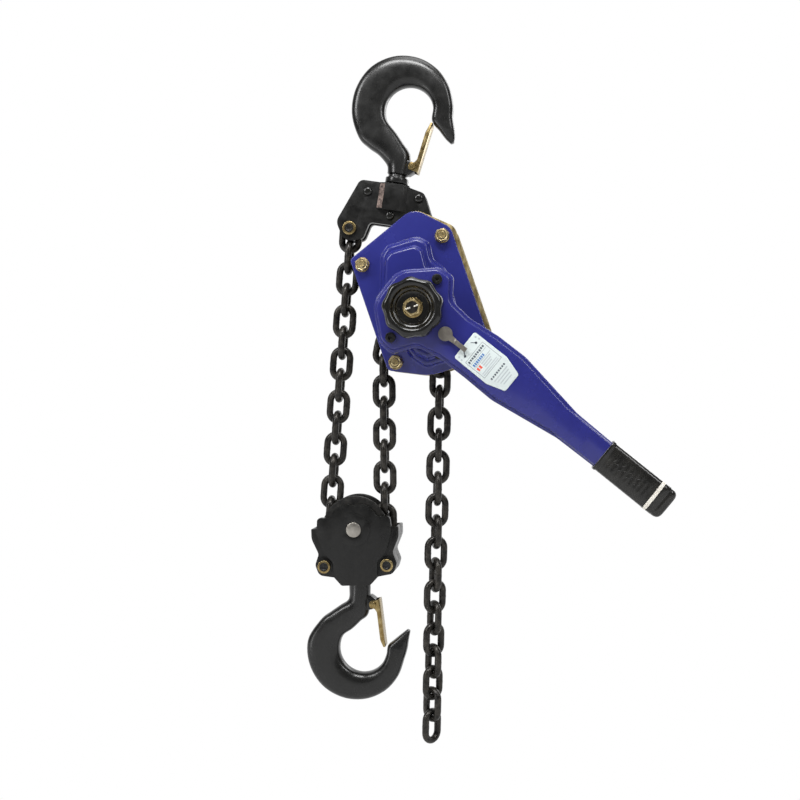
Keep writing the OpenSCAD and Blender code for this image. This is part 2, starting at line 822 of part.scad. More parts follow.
module stay_nuts() {
    color(zinc)
        on_hoist()
            for (at = stays, side = [-1, 1])
                difference() {
                    translate([0, side * (cover_front + 1.6 + nut_h / 2), 0]) {
                        hex(nut_af, -nut_h / 2 + 0.1, nut_h / 2 - 2.5, at);
                        rod(nut_af / 2 - 1, -nut_h / 2 + 0.1, nut_h / 2 - 1, at);
                    }
                    rod(stay_r + run, -80, 80, at);
                }
}

module stay_washers() {
    color(zinc)
        on_hoist()
            for (at = stays, side = [-1, 1])
                difference() {
                    translate([0, side * (cover_front + 0.85), 0])
                        rod(nut_af / 2 + 1.5, -0.75, 0.75, at);
                    rod(stay_r + run, -80, 80, at);
                }
}

tower = [[-23, 20, 10], [-21, 88, 14], [-8, 97, 14], [30, 94, 14], [42, 84, 12],
         [41, 58, 16], [48, 44, 10], [40, 10, 10]];
sump = [[-38, -10, 10], [-27, -60, 16], [-14, -75, 14], [22, -76, 14], [36, -60, 14],
        [40, -10, 10]];
tower_depth = 20;

// Rounded outline moved inwards by g, towards its own middle
module offset_poly(pts, g) {
    mid = [for (k = [0, 1]) (max([for (p = pts) p[k]]) + min([for (p = pts) p[k]])) / 2];
    half = [for (k = [0, 1]) (max([for (p = pts) p[k]]) - min([for (p = pts) p[k]])) / 2];
    polygon(rounded([for (p = pts)
        [mid[0] + (p[0] - mid[0]) * (half[0] + g) / half[0],
         mid[1] + (p[1] - mid[1]) * (half[1] + g) / half[1], p[2] + g]]));
}

module brake_cover() {
    color(paint)
        on_hoist()
            difference() {
                union() {
                    along_y(-cover_front, -plate_out - run)
                        polygon(plate_shape(cover_right));
                    rod(drum_r, -drum_front, -plate_out - run);
                    along_y(-plate_out - sheet - tower_depth, -plate_out - run) {
                        offset_poly(tower, 0);
                        offset_poly(sump, 0);
                    }
                }
                rod(drum_r - sheet, -drum_front + sheet, -plate_out + 1);
                along_y(-plate_out - tower_depth, -plate_out + 1) {
                    offset_poly(tower, -sheet);
                    offset_poly(sump, -sheet);
                }
                rod(cover_hole_r, -drum_front - 1, -plate_out);
                for (at = stays)
                    rod(stay_r + run, -cover_front - 1, -plate_out + 1, at);
            }
}

case_r = gear_module * wheel_teeth / 2 + gear_tip + 2.2 + sheet;

module case_outline(grow) {
    for (side = [-1, 1])
        translate([0, side * mesh_dist])
            circle(r = case_r + grow);
    square([2 * (hoist_rim_r + grow), mesh_dist * 1.4], center = true);
}

module gear_case() {
    boss_t = 4;
    color(paint)
        on_hoist()
            difference() {
                union() {
                    along_y(plate_out + run, cover_front)
                        polygon(plate_shape(cover_right));
                    along_y(plate_out + run, case_back)
                        case_outline(0);
                    rod(16, case_back - 1, case_back + 5);
                }
                along_y(plate_out - 1, case_back - sheet - boss_t)
                    case_outline(-sheet);
                rod(shaft_r - 1 + run, plate_out, case_back + 2);
                for (side = [-1, 1])
                    rod(disc_shaft_r + run, plate_out, case_back - sheet, [0, side * mesh_dist]);
                for (at = stays)
                    rod(stay_r + run, plate_out - 1, cover_front + 1, at);
            }
}

module sheave_bearings() {
    color(bronze)
        on_hoist()
            for (side = [-1, 1])
                translate([0, side * (plate_in + plate_t / 2), 0])
                    difference() {
                        rod(bearing_r, -plate_t / 2 + 0.1, plate_t / 2 - 0.1);
                        rod(hub_r + run, -plate_t, plate_t);
                    }
}

guide_in_r = joint_r + link_half_w + 2.4;

module chain_guide() {
    color(dark_steel)
        translate([axis[0], 0, axis[1]])
            difference() {
                rod(guide_in_r + 3, -plate_in + 0.1, plate_in - 0.1);
                rod(guide_in_r, -plate_in, plate_in);
                along_y(-plate_in - 1, plate_in + 1)
                    polygon([[-90, -90], [90, -90], [90, 14], [0, -5], [-90, 14]]);
            }
}

module chain_stripper() {
    color(dark_steel)
        translate([axis[0], 0, axis[1]]) {
            along_y(-plate_in + 0.1, plate_in - 0.1)
                polygon(rounded([[-8, -50, 2], [9, -50, 2], [7, -74, 4], [-3, -74, 4]]));
            along_y(-groove_half + 1.4, groove_half - 1.4)
                polygon([[-3.5, -groove_r - 1.2], [3.5, -groove_r - 1.2], [8, -51], [-7, -51]]);
        }
}

// --- gears ---------------------------------------------------------------------------

function involute(base, r) =
    let (a = acos(min(1, base / r)))
    tan(a) * 180 / PI - a;

// Outline of a gear with a tooth on the +X axis
function gear_points(teeth) =
    let (pitch_r = gear_module * teeth / 2, base = pitch_r * cos(pressure))
    let (tip = pitch_r + gear_tip, root = pitch_r - gear_root)
    let (half = 90 / teeth - backlash / 4 / pitch_r * 180 / PI + involute(base, pitch_r))
    let (low = max(base, root))
    let (flank = [for (i = [0 : 2]) low + (tip - low) * i / 2])
    [for (t = [0 : teeth - 1]) let (a = 360 * t / teeth) each concat(
        [root * [cos(a - half - 1), sin(a - half - 1)]],
        [for (r = flank) let (h = half - involute(base, r)) r * [cos(a - h), sin(a - h)]],
        [for (i = [2 : -1 : 0]) let (r = flank[i], h = half - involute(base, r))
            r * [cos(a + h), sin(a + h)]],
        [root * [cos(a + half + 1), sin(a + half + 1)]])];

module gear(teeth, y0, y1, turn = 0) {
    along_y(y0, y1)
        rotate(turn)
            polygon(gear_points(teeth));
}

module load_sheave() {
    color(dark_steel)
        on_hoist()
            difference() {
                union() {
                    sheave(hoist_rim_r, shaft_r, plate_in - 0.5);
                    rod(hub_r, -plate_out + 0.3, load_gear_y + load_gear_t);
                }
                rod(shaft_r + run, -plate_out - 1, load_gear_y + load_gear_t + 1);
            }
}

module load_gear() {
    color(steel)
        on_hoist()
            difference() {
                gear(wheel_teeth, load_gear_y, load_gear_y + load_gear_t, 90 + 180 / wheel_teeth);
                rod(hub_r + run, load_gear_y - 1, load_gear_y + load_gear_t + 1);
            }
}

module disc_gear(side) {
    color(steel)
        on_hoist()
            translate([0, 0, side * mesh_dist]) {
                rod(disc_shaft_r, plate_in + 0.3, case_back - sheet - 0.3);
                gear(pinion_teeth, load_gear_y, disc_gear_y + 1, 90);
                gear(wheel_teeth, disc_gear_y, disc_gear_y + disc_gear_t,
                     90 + 180 / wheel_teeth);
            }
}

module disc_gear_upper() {
    disc_gear(1);
}

module disc_gear_lower() {
    disc_gear(-1);
}

module drive_shaft() {
    stub_r = shaft_r - 1;
    color(steel)
        on_hoist() {
            rod(shaft_r, -lever_front, load_gear_y + load_gear_t + 1);
            gear(pinion_teeth, disc_gear_y, disc_gear_y + disc_gear_t + 1, 90);
            rod(stub_r, disc_gear_y, case_back + 1.5);
            rod(stub_r, -wheel_front + 3, -lever_front + 1);
        }
}

// --- brake ---------------------------------------------------------------------------

module brake_hub() {
    color(dark_steel)
        on_hoist() {
            difference() {
                rod(28, -friction_1 + run, -brake_start);
                rod(shaft_r + run, -friction_1 - 1, -brake_start + 1);
            }
            difference() {
                union() {
                    rod(28, -brake_hub_y - brake_hub_t, -brake_hub_y - run);
                    rod(brake_neck_r, -change_back - change_t, -brake_hub_y - 1);
                }
                rod(shaft_r + run, -lever_front, -brake_hub_y + 1);
            }
        }
}

module friction_discs() {
    color(bronze)
        on_hoist()
            for (y = [friction_1, friction_2])
                difference() {
                    rod(27, -y - friction_t + run, -y - run);
                    rod(shaft_r + 3, -y - friction_t - 1, -y + 1);
                }
}

// Ratchet outline: a steep face at each tooth's start, which the pawl stops, then a ramp
tooth_shares = [[0, 1], [0.1, 0], [0.5, 1 / 3], [0.75, 2 / 3]];
function ratchet_points(r, depth, teeth) =
    [for (t = [0 : teeth - 1], share = tooth_shares)
        let (a = -(t + share[0]) * 360 / teeth)
        (r - share[1] * depth) * [cos(a), sin(a)]];

module ratchet_disc() {
    color(steel)
        on_hoist()
            difference() {
                along_y(-friction_2 + run, -ratchet_y - run)
                    rotate(tip_angle)
                        polygon(ratchet_points(ratchet_r, ratchet_depth, ratchet_teeth));
                rod(shaft_r + 3, -friction_2 - 1, -ratchet_y + 1);
            }
}

// Pawl on its pin, its tip in a gap of the ratchet disc, clear of the tooth and the ramp
function at_tip(r, a) = r * [cos(tip_angle + a), sin(tip_angle + a)];
pawl_root_r = ratchet_r - ratchet_depth;

module pawl(turn) {
    eye = pawl_spots[0];
    color(dark_steel)
        on_hoist()
            rotate([0, turn, 0])
                difference() {
                    along_y(-friction_2 + 0.4, -ratchet_y - 0.4)
                        polygon(concat(
                            [at_tip(pawl_root_r + 1.3, 2), at_tip(ratchet_r + 0.8, 0)],
                            [for (a = [30 : 15 : 210])
                                eye + (pawl_pin_r + 3.2) * [cos(a), sin(a)]],
                            [at_tip(ratchet_r + 1.6, 19), at_tip(pawl_root_r + 3.4, 8)]));
                    rod(pawl_pin_r + run, -friction_2 - 1, -ratchet_y + 1, eye);
                }
}

module pawl_upper() {
    pawl(0);
}

module pawl_lower() {
    pawl(180);
}

module pawl_pins() {
    color(steel)
        on_hoist()
            for (at = pawl_spots) {
                rod(pawl_pin_r, -plate_out - tower_depth + 0.3, -plate_in - 0.3, at);
                difference() {
                    rod(pawl_pin_r + 2, -ratchet_y + 0.2, -plate_out - 0.1, at);
                    rod(pawl_pin_r - 1, -ratchet_y, -plate_out, at);
                }
            }
}

// --- lever ---------------------------------------------------------------------------

// Outline of the lever's shells: how far along the arm, half its width, and the rounding
lever_half = [[14, 66, 10], [33, 38.5, 22], [66, 33, 30], [110, 35.2, 60], [155, 36, 50],
              [252, 21, 40]];
end_half_w = grip_half_w - 2.2;
function arm_mid(along) = arm_shift * min(1, max(0, (along - 20) / 90));
lever_shape = concat(
    [[-50, -26, 30], [-50, 26, 30], [-8, 64, 12]],
    [for (p = lever_half) [p[0], arm_mid(p[0]) + p[1], p[2]]],
    [[grip_start, arm_shift + end_half_w, 1], [grip_start, arm_shift - end_half_w, 1]],
    [for (i = [len(lever_half) - 1 : -1 : 0])
        [lever_half[i][0], arm_mid(lever_half[i][0]) - lever_half[i][1], lever_half[i][2]]],
    [[-8, -64, 12]]);

module lever_outline(grow) {
    polygon(rounded([for (p = lever_shape)
        [p[0] + (p[0] < 0 ? -grow : (p[0] > grip_start - 1 ? 0.5 * grow : 0)),
         p[1] + sign(p[1]) * grow, max(0.6, p[2] + grow)]]));
}

module lever_shell(y0, y1, open_y) {
    difference() {
        along_y(y0, y1)
            lever_outline(0);
        along_y(min(open_y, y0 + sheet), max(open_y, y1 - sheet))
            intersection() {
                lever_outline(-sheet);
                translate([-60, -80])
                    square([grip_start + 60 - 12, 160]);
            }
        for (side = [-1, 1])
            rod(3 + run, y0 - 1, y1 + 1, [0, side * screw_n]);
    }
    for (side = [-1, 1])
        difference() {
            rod(6.5, y0 + 0.5, y1 - 0.5, [0, side * screw_n]);
            rod(3 + run, y0 - 1, y1 + 1, [0, side * screw_n]);
        }
}

module lever_rear_shell() {
    color(paint)
        on_lever()
            difference() {
                lever_shell(-lever_mid + run, -lever_back, -lever_mid - 1);
                rod(brake_neck_r + run, -lever_mid, -lever_back + 1);
                rod(6 + run, -lever_back - sheet - 1, -lever_back + 1, [selector_dist, 0]);
            }
}

module lever_front_shell() {
    color(paint)
        on_lever()
            difference() {
                lever_shell(-lever_front, -lever_mid - run, -lever_mid + 1);
                rod(18, -lever_front - 1, -lever_mid);
                rod(6 + run, -lever_front - 1, -lever_front + sheet + 1, [selector_dist, 0]);
            }
}

module lever_screws() {
    head_t = 4.5;
    color(forged)
        on_lever()
            for (side = [-1, 1])
                difference() {
                    union() {
                        rod(3, -lever_front - 1, -lever_back - 1, [0, side * screw_n]);
                        rod(6.8, -lever_front - head_t, -lever_front - run,
                            [0, side * screw_n]);
                    }
                    hex(5, -lever_front - head_t - 1, -lever_front - 1, [0, side * screw_n]);
                }
}

module lever_grip() {
    mid = lever_mid;
    tang = grip_start - 0.3;
    color(rubber)
        on_lever()
            difference() {
                translate([grip_start, -mid, arm_shift])
                    rotate([0, 90, 0])
                        grip_body();
                along_y(-mid - 40, -mid + 40)
                    polygon([[tang - 40, -60], [tang, -60], [tang, 60], [tang - 40, 60]]);
            }
}

// Grip along +Z, with a rim at its start and a bevelled end cap
module grip_body() {
    rim = 4;
    linear_extrude(rim)
        grip_section(1.2);
    translate([0, 0, rim])
        linear_extrude(grip_len - 2 * rim)
            grip_section(0);
    translate([0, 0, grip_len - rim])
        linear_extrude(rim)
            grip_section(-1.6);
}

module grip_section(grow) {
    polygon(rounded([for (c = [[-1, -1], [1, -1], [1, 1], [-1, 1]])
        [c[0] * (grip_half_w + grow), c[1] * (grip_half_t + grow), 8]]));
}

module label_plate() {
    color([0.8, 0.85, 0.88])
        on_lever()
            along_y(-lever_front - 0.8, -lever_front - 0.05)
                translate([0, arm_shift])
                    polygon(rounded([[82, -21.5, 3], [136, -22, 6], [162, -14, 4],
                                     [162, 14, 4], [136, 22, 6], [82, 21.5, 3]]));
}

module selector_lever() {
    arm_len = 35;
    plate = 2.5;
    color(steel)
        on_lever()
            translate([selector_dist, 0, 0]) {
                rod(6, -lever_front - 2, -lever_back + 0.5);
                rod(9.6, -lever_front - 2 - plate, -lever_front - 0.4);
                along_y(-lever_front - 2 - plate, -lever_front - 1.4)
                    polygon([[5, -4.5], [16, -3.2], [16, 3.2], [5, 4.5]]);
                along_y(-lever_front - 4 - plate, -lever_front - 2)
                    polygon([[14, -3.2], [arm_len, -3.2], [arm_len, 3.2], [14, 3.2]]);
            }
}

// Two-horned pawl on the selector's shaft, clear of the change gear in the middle
module selector_pawl() {
    color(dark_steel)
        on_lever()
            translate([selector_dist, 0, 0])
                difference() {
                    union() {
                        rod(10, -change_back - change_t + 1, -change_back - 1);
                        for (side = [-1, 1])
                            rotate([0, side * pawl_spread, 0])
                                along_y(-change_back - change_t + 1, -change_back - 1)
                                    polygon([[-7.2, side * 5.5], [5 - pawl_len, side * 5.2],
                                             [-pawl_len, side * 1.2],
                                             [-pawl_len, -side * 0.4],
                                             [1.6 - pawl_len, side * 1.6],
                                             [4.5 - pawl_len, side * 2.2],
                                             [12 - pawl_len, -side * 1.5],
                                             [-7.2, -side * 5.5]]);
                    }
                    rod(6 + run, -change_back - change_t, -change_back);
                }
}

module change_gear() {
    depth = 5;
    step = 360 / change_teeth;
    color(steel)
        on_lever()
            difference() {
                along_y(-change_back - change_t, -change_back)
                    polygon([for (t = [0 : change_teeth - 1], k = [0 : 3])
                        let (a = t * step + [-3.4, -2.3, 2.3, 3.4][k])
                        let (r = (k == 0 || k == 3) ? change_r - depth : change_r)
                        r * [cos(a), sin(a)]]);
                rod(brake_neck_r + run, -change_back - change_t - 1, -change_back + 1);
            }
}

module handwheel() {
    wheel_r = wheel_d / 2;
    lobe_r = 11;
    color(rubber)
        on_hoist()
            difference() {
                union() {
                    rod(wheel_r - 3.2, -wheel_front + 1.5, -wheel_back);
                    for (i = [0 : wheel_lobes - 1])
                        rotate([0, 360 / wheel_lobes * i, 0])
                            rod(lobe_r, -wheel_front + 3, -wheel_back - 1.5,
                                [wheel_r - lobe_r, 0]);
                    rod(wheel_r - 9, -wheel_front, -wheel_back);
                    rod(17, -wheel_back - 1, -change_back - change_t - 0.5);
                }
                turned([[0, -wheel_front - 1], [27, -wheel_front - 1], [24, -wheel_front + 5],
                        [21, -wheel_front + 6], [19.5, -wheel_front + 12],
                        [0, -wheel_front + 12]]);
                rod(shaft_r + run, -wheel_back - 3, -change_back);
                rod(shaft_r - 1 + run, -wheel_front, -wheel_back);
            }
}

module wheel_washer() {
    color(zinc)
        on_hoist()
            difference() {
                rod(13.3, -wheel_front + 10.4, -wheel_front + 12 - run);
                rod(shaft_r - 1 + run, -wheel_front + 9, -wheel_front + 13);
            }
}

module castle_nut() {
    back = wheel_front - 10.4;
    color(zinc)
        on_hoist()
            difference() {
                union() {
                    hex(20, -back - 6, -back - run);
                    rod(9.8, -back - 9.5, -back - 5);
                }
                rod(shaft_r - 1 + run, -back - 11, -back + 1);
                for (i = [0 : 2])
                    rotate([0, 60 * i, 0])
                        translate([-15, -back - 12, -1.5])
                            cube([30, 5.5, 3]);
            }
}

module cotter_pin() {
    back = wheel_front - 10.4;
    tip = wheel_front - 3;
    color(steel)
        on_hoist()
            for (side = [-1, 1])
                translate([side * 5.5, -tip - 1.1, 0])
                    rotate([0, 90, 0])
                        cylinder(r = 1, h = 6.4, center = true);
}

// --- bottom block --------------------------------------------------------------------

block_shape = rounded([
    [-guard_r, 2, 1.5], [-guard_r, -12, 20], [-51.5, -33, 8], [-57, -48, 8],
    [-52, -62.5, 10], [-30, -66, 6], [-20, -block_drop, 3], [20, -block_drop, 3],
    [30, -66, 6], [52, -62.5, 10], [57, -48, 8], [51.5, -33, 8], [guard_r, -12, 20],
    [guard_r, 2, 1.5]]);
cheek_shape = rounded([
    [-50.5, 17.5, 5], [-33, 17, 4], [-22, 34, 18], [22, 34, 18], [33, 17, 4], [50.5, 17.5, 5],
    [52, -4, 16], [44, -30, 14], [31, -44, 10], [30, -65, 6], [20, -block_drop, 4],
    [-20, -block_drop, 4], [-30, -65, 6], [-31, -44, 10], [-44, -30, 14], [-52, -4, 16]]);
block_bolt_r = 5;

module block_half(side) {
    color(forged)
        on_block()
            intersection() {
                difference() {
                    union() {
                        along_y(-base_out, base_out)
                            polygon(block_shape);
                        along_y(-cheek_out, cheek_out)
                            polygon(cheek_shape);
                        for (x = [-block_bolt_x, block_bolt_x])
                            rod(11, -base_out - 2, base_out + 2, [x, -block_bolt_drop]);
                        rod(22.5, -cheek_out - 1.5, cheek_out + 1.5);
                    }
                    rod(block_cavity_r, -cheek_in, cheek_in);
                    along_y(-cheek_in, cheek_in)
                        translate([-80, 2.1])
                            square([160, 80]);
                    rod(axle_r + run, -60, 60);
                    for (x = [-block_bolt_x, block_bolt_x])
                        rod(block_bolt_r + run, -60, 60, [x, -block_bolt_drop]);
                    translate([0, 0, -block_drop - 1])
                        cylinder(r = stem_r + run, h = 30);
                    translate([0, 0, -nut_floor - 0.3])
                        cylinder(r = stem_nut_r + 0.5, h = 30);
                }
                translate([-100, side > 0 ? 0.1 : -60, -120])
                    cube([200, 59.9, 200]);
            }
}

module block_front() {
    block_half(-1);
}

module block_rear() {
    block_half(1);
}

module block_bolts() {
    seat = base_out + 2;
    color(zinc)
        on_block()
            for (x = [-block_bolt_x, block_bolt_x], at = [[x, -block_bolt_drop]])
                difference() {
                    union() {
                        rod(block_bolt_r, -seat - 2, seat + 9, at);
                        rod(8.8, -seat - 6, -seat - run, at);
                        hex(16, seat + run, seat + 8, at);
                    }
                    hex(7, -seat - 7, -seat - 2, at);
                }
}

module idler_axle() {
    color(steel)
        on_block()
            rod(axle_r, -cheek_out - 3, cheek_out + 3);
}

module idler_sheave() {
    color(dark_steel)
        translate([idler[0], 0, idler[1]])
            sheave(flange_r, axle_r + run, cheek_in - 0.6);
}

module bottom_hook() {
    on_bottom_hook()
        hook(hook_seat_drop - nut_top - 0.5, low_shoulder_drop, low_bowl_offset, low_horn,
             low_keys, low_neck, low_neck_h, low_latch_at);
}

module bottom_hook_nut() {
    on_bottom_hook()
        stem_nut(nut_top - hook_seat_drop, nut_floor - 0.3 - hook_seat_drop,
                 low_bowl_offset);
}

module bottom_latch() {
    on_bottom_hook()
        latch(low_latch_at);
}

module bottom_latch_pin() {
    on_bottom_hook()
        latch_pin(low_latch_at);
}

// --- what is shown -------------------------------------------------------------------

yoke_plate_front();
yoke_plate_rear();
yoke_rivets();
yoke_spacers();
anchor_bolt();
anchor_nut();
top_pin();
top_pin_spacers();
side_plate_front();
side_plate_rear();
stay_bolts();
stay_nuts();
stay_washers();
brake_cover();
gear_case();
sheave_bearings();
chain_guide();
chain_stripper();
chain_left_strand();
chain_middle_strand();
chain_on_load_sheave();
chain_on_idler_sheave();
chain_tail();
load_sheave();
load_gear();
disc_gear_upper();
disc_gear_lower();
drive_shaft();
brake_hub();
friction_discs();
ratchet_disc();
pawl_upper();
pawl_lower();
pawl_pins();
change_gear();
handwheel();
wheel_washer();
castle_nut();
cotter_pin();
lever_rear_shell();
lever_front_shell();
lever_screws();
lever_grip();
label_plate();
selector_lever();
selector_pawl();
top_hook();
top_hook_collar();
top_hook_nut();
top_latch();
top_latch_pin();
block_front();
block_rear();
block_bolts();
idler_axle();
idler_sheave();
bottom_hook();
bottom_hook_nut();
bottom_latch();
bottom_latch_pin();
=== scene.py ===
import json
from math import atan, atan2, cos, hypot, pi, radians, sin, sqrt, tan, acos, ceil

import bmesh
import bpy
from bpy.props import FloatProperty, FloatVectorProperty, IntProperty, PointerProperty
from mathutils import Matrix, Vector


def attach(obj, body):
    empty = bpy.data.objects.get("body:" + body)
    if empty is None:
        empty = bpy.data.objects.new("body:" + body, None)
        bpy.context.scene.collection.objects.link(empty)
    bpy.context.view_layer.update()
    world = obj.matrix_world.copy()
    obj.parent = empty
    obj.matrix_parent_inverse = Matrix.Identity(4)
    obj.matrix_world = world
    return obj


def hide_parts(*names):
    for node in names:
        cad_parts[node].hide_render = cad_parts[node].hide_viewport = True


bl_info = {
    "name": "Lever chain hoist",
    "version": (1, 0, 0),
    "blender": (4, 5, 0),
    "location": "3D View > Sidebar > Hoist",
    "description": "Dresses the hoist's frame with pressed covers, forgings and chain",
    "category": "Object",
}

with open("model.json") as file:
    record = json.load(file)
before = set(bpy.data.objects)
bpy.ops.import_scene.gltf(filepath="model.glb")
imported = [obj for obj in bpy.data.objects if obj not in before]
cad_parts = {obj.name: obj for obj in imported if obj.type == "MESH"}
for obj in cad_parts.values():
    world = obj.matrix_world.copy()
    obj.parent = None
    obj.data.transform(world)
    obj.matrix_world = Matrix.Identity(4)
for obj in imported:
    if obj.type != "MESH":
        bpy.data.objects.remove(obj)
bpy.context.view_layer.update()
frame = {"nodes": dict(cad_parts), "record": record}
BODIES = frame["record"]["behaviour"]["bodies"]
BODY_OF = {node: body for body, nodes in BODIES.items() for node in nodes}

# --- places, all in millimetres until a mesh is made ---

PITCH, WIRE, LINK_W, LINK_PLAY = 30.0, 9.6, 13.8, 0.3
AXIS_X, AXIS_DROP, IDLER_LEFT = 10.4, 314.5, 78.6
YOKE_TILT, BODY_TILT, LEVER_ANGLE, BLOCK_TILT = 9.0, 19.0, -58.0, -2.4
BOWL_R, BOWL_OFFSET, LOW_OFFSET = 33.4, 2.3, 1.6
YOKE_ARM, YOKE_DROP = 53.3, 207.5
HOOK_SEAT_DROP = 202.6
GUIDE_LEAN, MIDDLE_PAIRS, TAIL_LINKS = 11.8, 4, 19
TAIL_BEND, TAIL_LEAN, TAIL_TWIST, TAIL_ROLL, TAIL_SLACK = 6.9, 1.4, 3.5, 22, 1.4
YOKE_TOP, BOSS_DROP = 138.5, 37.0
RIVETS = [(-36, -YOKE_TOP - 15), (36, -YOKE_TOP - 15), (0, -YOKE_TOP - BOSS_DROP - 7)]
RIVET_DOME = [(5.6, 16.4), (5.5, 16.8), (4.9, 17.4), (3.6, 17.9), (2, 18.15), (0.5, 18.2)]

LEG_X = LINK_W / 2 + WIRE / 2
HALF_INNER = (PITCH + LINK_PLAY) / 2
BOW_Z = HALF_INNER - LINK_W / 2
EDGE_HALF = HALF_INNER + WIRE / 2 - LINK_PLAY / 4
FACE_HALF = PITCH - EDGE_HALF
FACE_R = (EDGE_HALF + FACE_HALF * cos(radians(45))) / sin(radians(45))
EDGE_R = (FACE_HALF + EDGE_HALF * cos(radians(45))) / sin(radians(45))
JOINT_R = hypot(FACE_R, FACE_HALF)
FACE_ANGLE = atan(FACE_HALF / FACE_R) * 180 / pi
EDGE_ANGLE = atan(EDGE_HALF / EDGE_R) * 180 / pi


def turn_y(angle):
    return Matrix.Rotation(radians(angle), 4, "Y")


def move(x, y, z):
    return Matrix.Translation((x, y, z))


AXIS = Vector((AXIS_X, -AXIS_DROP))
TOP_JOINT = AXIS - Vector((JOINT_R, 0))
BEND = TOP_JOINT - 2 * PITCH * Vector((sin(radians(GUIDE_LEAN)), cos(radians(GUIDE_LEAN))))
IDLER_RIGHT_X = -IDLER_LEFT + JOINT_R
IDLER_Z = BEND[1] - sqrt((2 * PITCH * MIDDLE_PAIRS) ** 2 - (IDLER_RIGHT_X - BEND[0]) ** 2)
IDLER = Vector((-IDLER_LEFT, IDLER_Z))

TOP_HOOK = turn_y(YOKE_TILT)
YOKE = turn_y(YOKE_TILT) @ move(-BOWL_OFFSET, 0, 0)
HOIST = move(AXIS_X, 0, -AXIS_DROP) @ turn_y(-BODY_TILT)
LEVER = HOIST @ turn_y(-LEVER_ANGLE)
BLOCK = move(IDLER[0], 0, IDLER[1]) @ turn_y(BLOCK_TILT)
LOW_HOOK = BLOCK @ move(LOW_OFFSET, 0, -HOOK_SEAT_DROP) @ Matrix.Rotation(pi, 4, "X")
MM = Matrix.Scale(0.001, 4)

COVER_FACE = -31.0
LEVER_BACK, LEVER_MID, LEVER_FRONT = -60.5, -74.1, -87.7
WHEEL_BACK = -89.3
GRIP_START, ARM_SHIFT, LABEL_SHIFT = 311.0, 6.2, 4.6


# --- outlines ---

def rounded(points, step=8):
    """Closed outline whose corners (x, y, r) are rounded to their radius r."""
    out = []
    n = len(points)
    for i, (x, y, r) in enumerate(points):
        p1 = Vector((x, y))
        v1 = (Vector(points[i - 1][:2]) - p1).normalized()
        v2 = (Vector(points[(i + 1) % n][:2]) - p1).normalized()
        half = acos(max(-1, min(1, v1 @ v2))) / 2
        c = p1 + (v1 + v2).normalized() * r / sin(half)
        d = r / tan(half)
        s, e = p1 + v1 * d - c, p1 + v2 * d - c
        a0 = atan2(s.y, s.x)
        turn = atan2(s.x * e.y - s.y * e.x, s @ e)
        steps = max(2, ceil(abs(turn) * 180 / pi / step))
        for k in range(steps + 1):
            a = a0 + turn * k / steps
            out.append(c + r * Vector((cos(a), sin(a))))
    return clean(out)


def clean(points, gap=0.4):
    """The same outline without points that nearly touch."""
    out = []
    for p in points:
        if not out or (p - out[-1]).length > gap:
            out.append(p)
    if (out[0] - out[-1]).length < gap:
        out.pop()
    return out


def resample(points, step):
    """The same outline with long sides cut into pieces of about one step."""
    out = []
    for i, p in enumerate(points):
        q = points[(i + 1) % len(points)]
        n = max(1, int((q - p).length / step))
        out += [p.lerp(q, k / n) for k in range(n)]
    return out


def grown(points, d):
    """Outline moved outwards by d, along the normals of its corners."""
    area = sum(p.x * q.y - q.x * p.y for p, q in zip(points, points[1:] + points[:1]))
    side = 1 if area > 0 else -1
    out = []
    for i, p in enumerate(points):
        a = (p - points[i - 1]).normalized()
        b = (points[(i + 1) % len(points)] - p).normalized()
        na, nb = Vector((a.y, -a.x)) * side, Vector((b.y, -b.x)) * side
        m = (na + nb).normalized()
        out.append(p + m * d / max(0.5, m @ na))
    return out


# --- meshes ---

# Angle in degrees from which an edge counts as sharp
SHARP = 32


def add_object(name, data):
    piece = bpy.data.objects.new(name, data)
    bpy.context.collection.objects.link(piece)
    return piece


def mesh_object(name, bm, place, smooth=35):
    """An object at the origin, whose mesh is placed and scaled to metres."""
    bmesh.ops.transform(bm, matrix=MM @ place, verts=bm.verts)
    bmesh.ops.recalc_face_normals(bm, faces=bm.faces)
    mesh = bpy.data.meshes.new(name)
    bm.to_mesh(mesh)
    bm.free()
    mesh.shade_smooth()
    if smooth < 180:
        mesh.set_sharp_from_angle(angle=radians(smooth))
    return add_object(name, mesh)


def skin_rings(bm, rings, closed=False):
    """Faces between rings of the same number of points, each a closed loop."""
    loops = [[bm.verts.new(p) for p in ring] for ring in rings]
    for a, b in zip(loops, loops[1:] + loops[:1] if closed else loops[1:]):
        for k in range(len(a)):
            k2 = (k + 1) % len(a)
            bm.faces.new((a[k], a[k2], b[k2], b[k]))
    if not closed:
        bm.faces.new(loops[0])
        bm.faces.new(list(reversed(loops[-1])))


def pressed(bm, outline, profile):
    """Closed form over an outline: profile is a list of (growth outwards, y)."""
    rings = [[Vector((p.x, y, p.y)) for p in grown(outline, d)] for d, y in profile]
    skin_rings(bm, rings)


def lathe(bm, profile, at=(0, 0), count=96, lobes=None):
    """Closed turned form about Y; profile is a list of (radius, y), from back to front."""
    rings = []
    for r, y in profile:
        ring = []
        for k in range(count):
            a = 2 * pi * k / count
            rr = r * (lobes(a, r) if lobes else 1)
            ring.append(Vector((at[0] + rr * cos(a), y, at[1] + rr * sin(a))))
        rings.append(ring)
    skin_rings(bm, rings)


def apply_modifiers(piece):
    """Turns the piece's modifiers into its mesh."""
    graph = bpy.context.evaluated_depsgraph_get()
    mesh = bpy.data.meshes.new_from_object(piece.evaluated_get(graph))
    piece.modifiers.clear()
    piece.data = mesh


def remove(*pieces):
    for piece in pieces:
        bpy.data.objects.remove(piece)


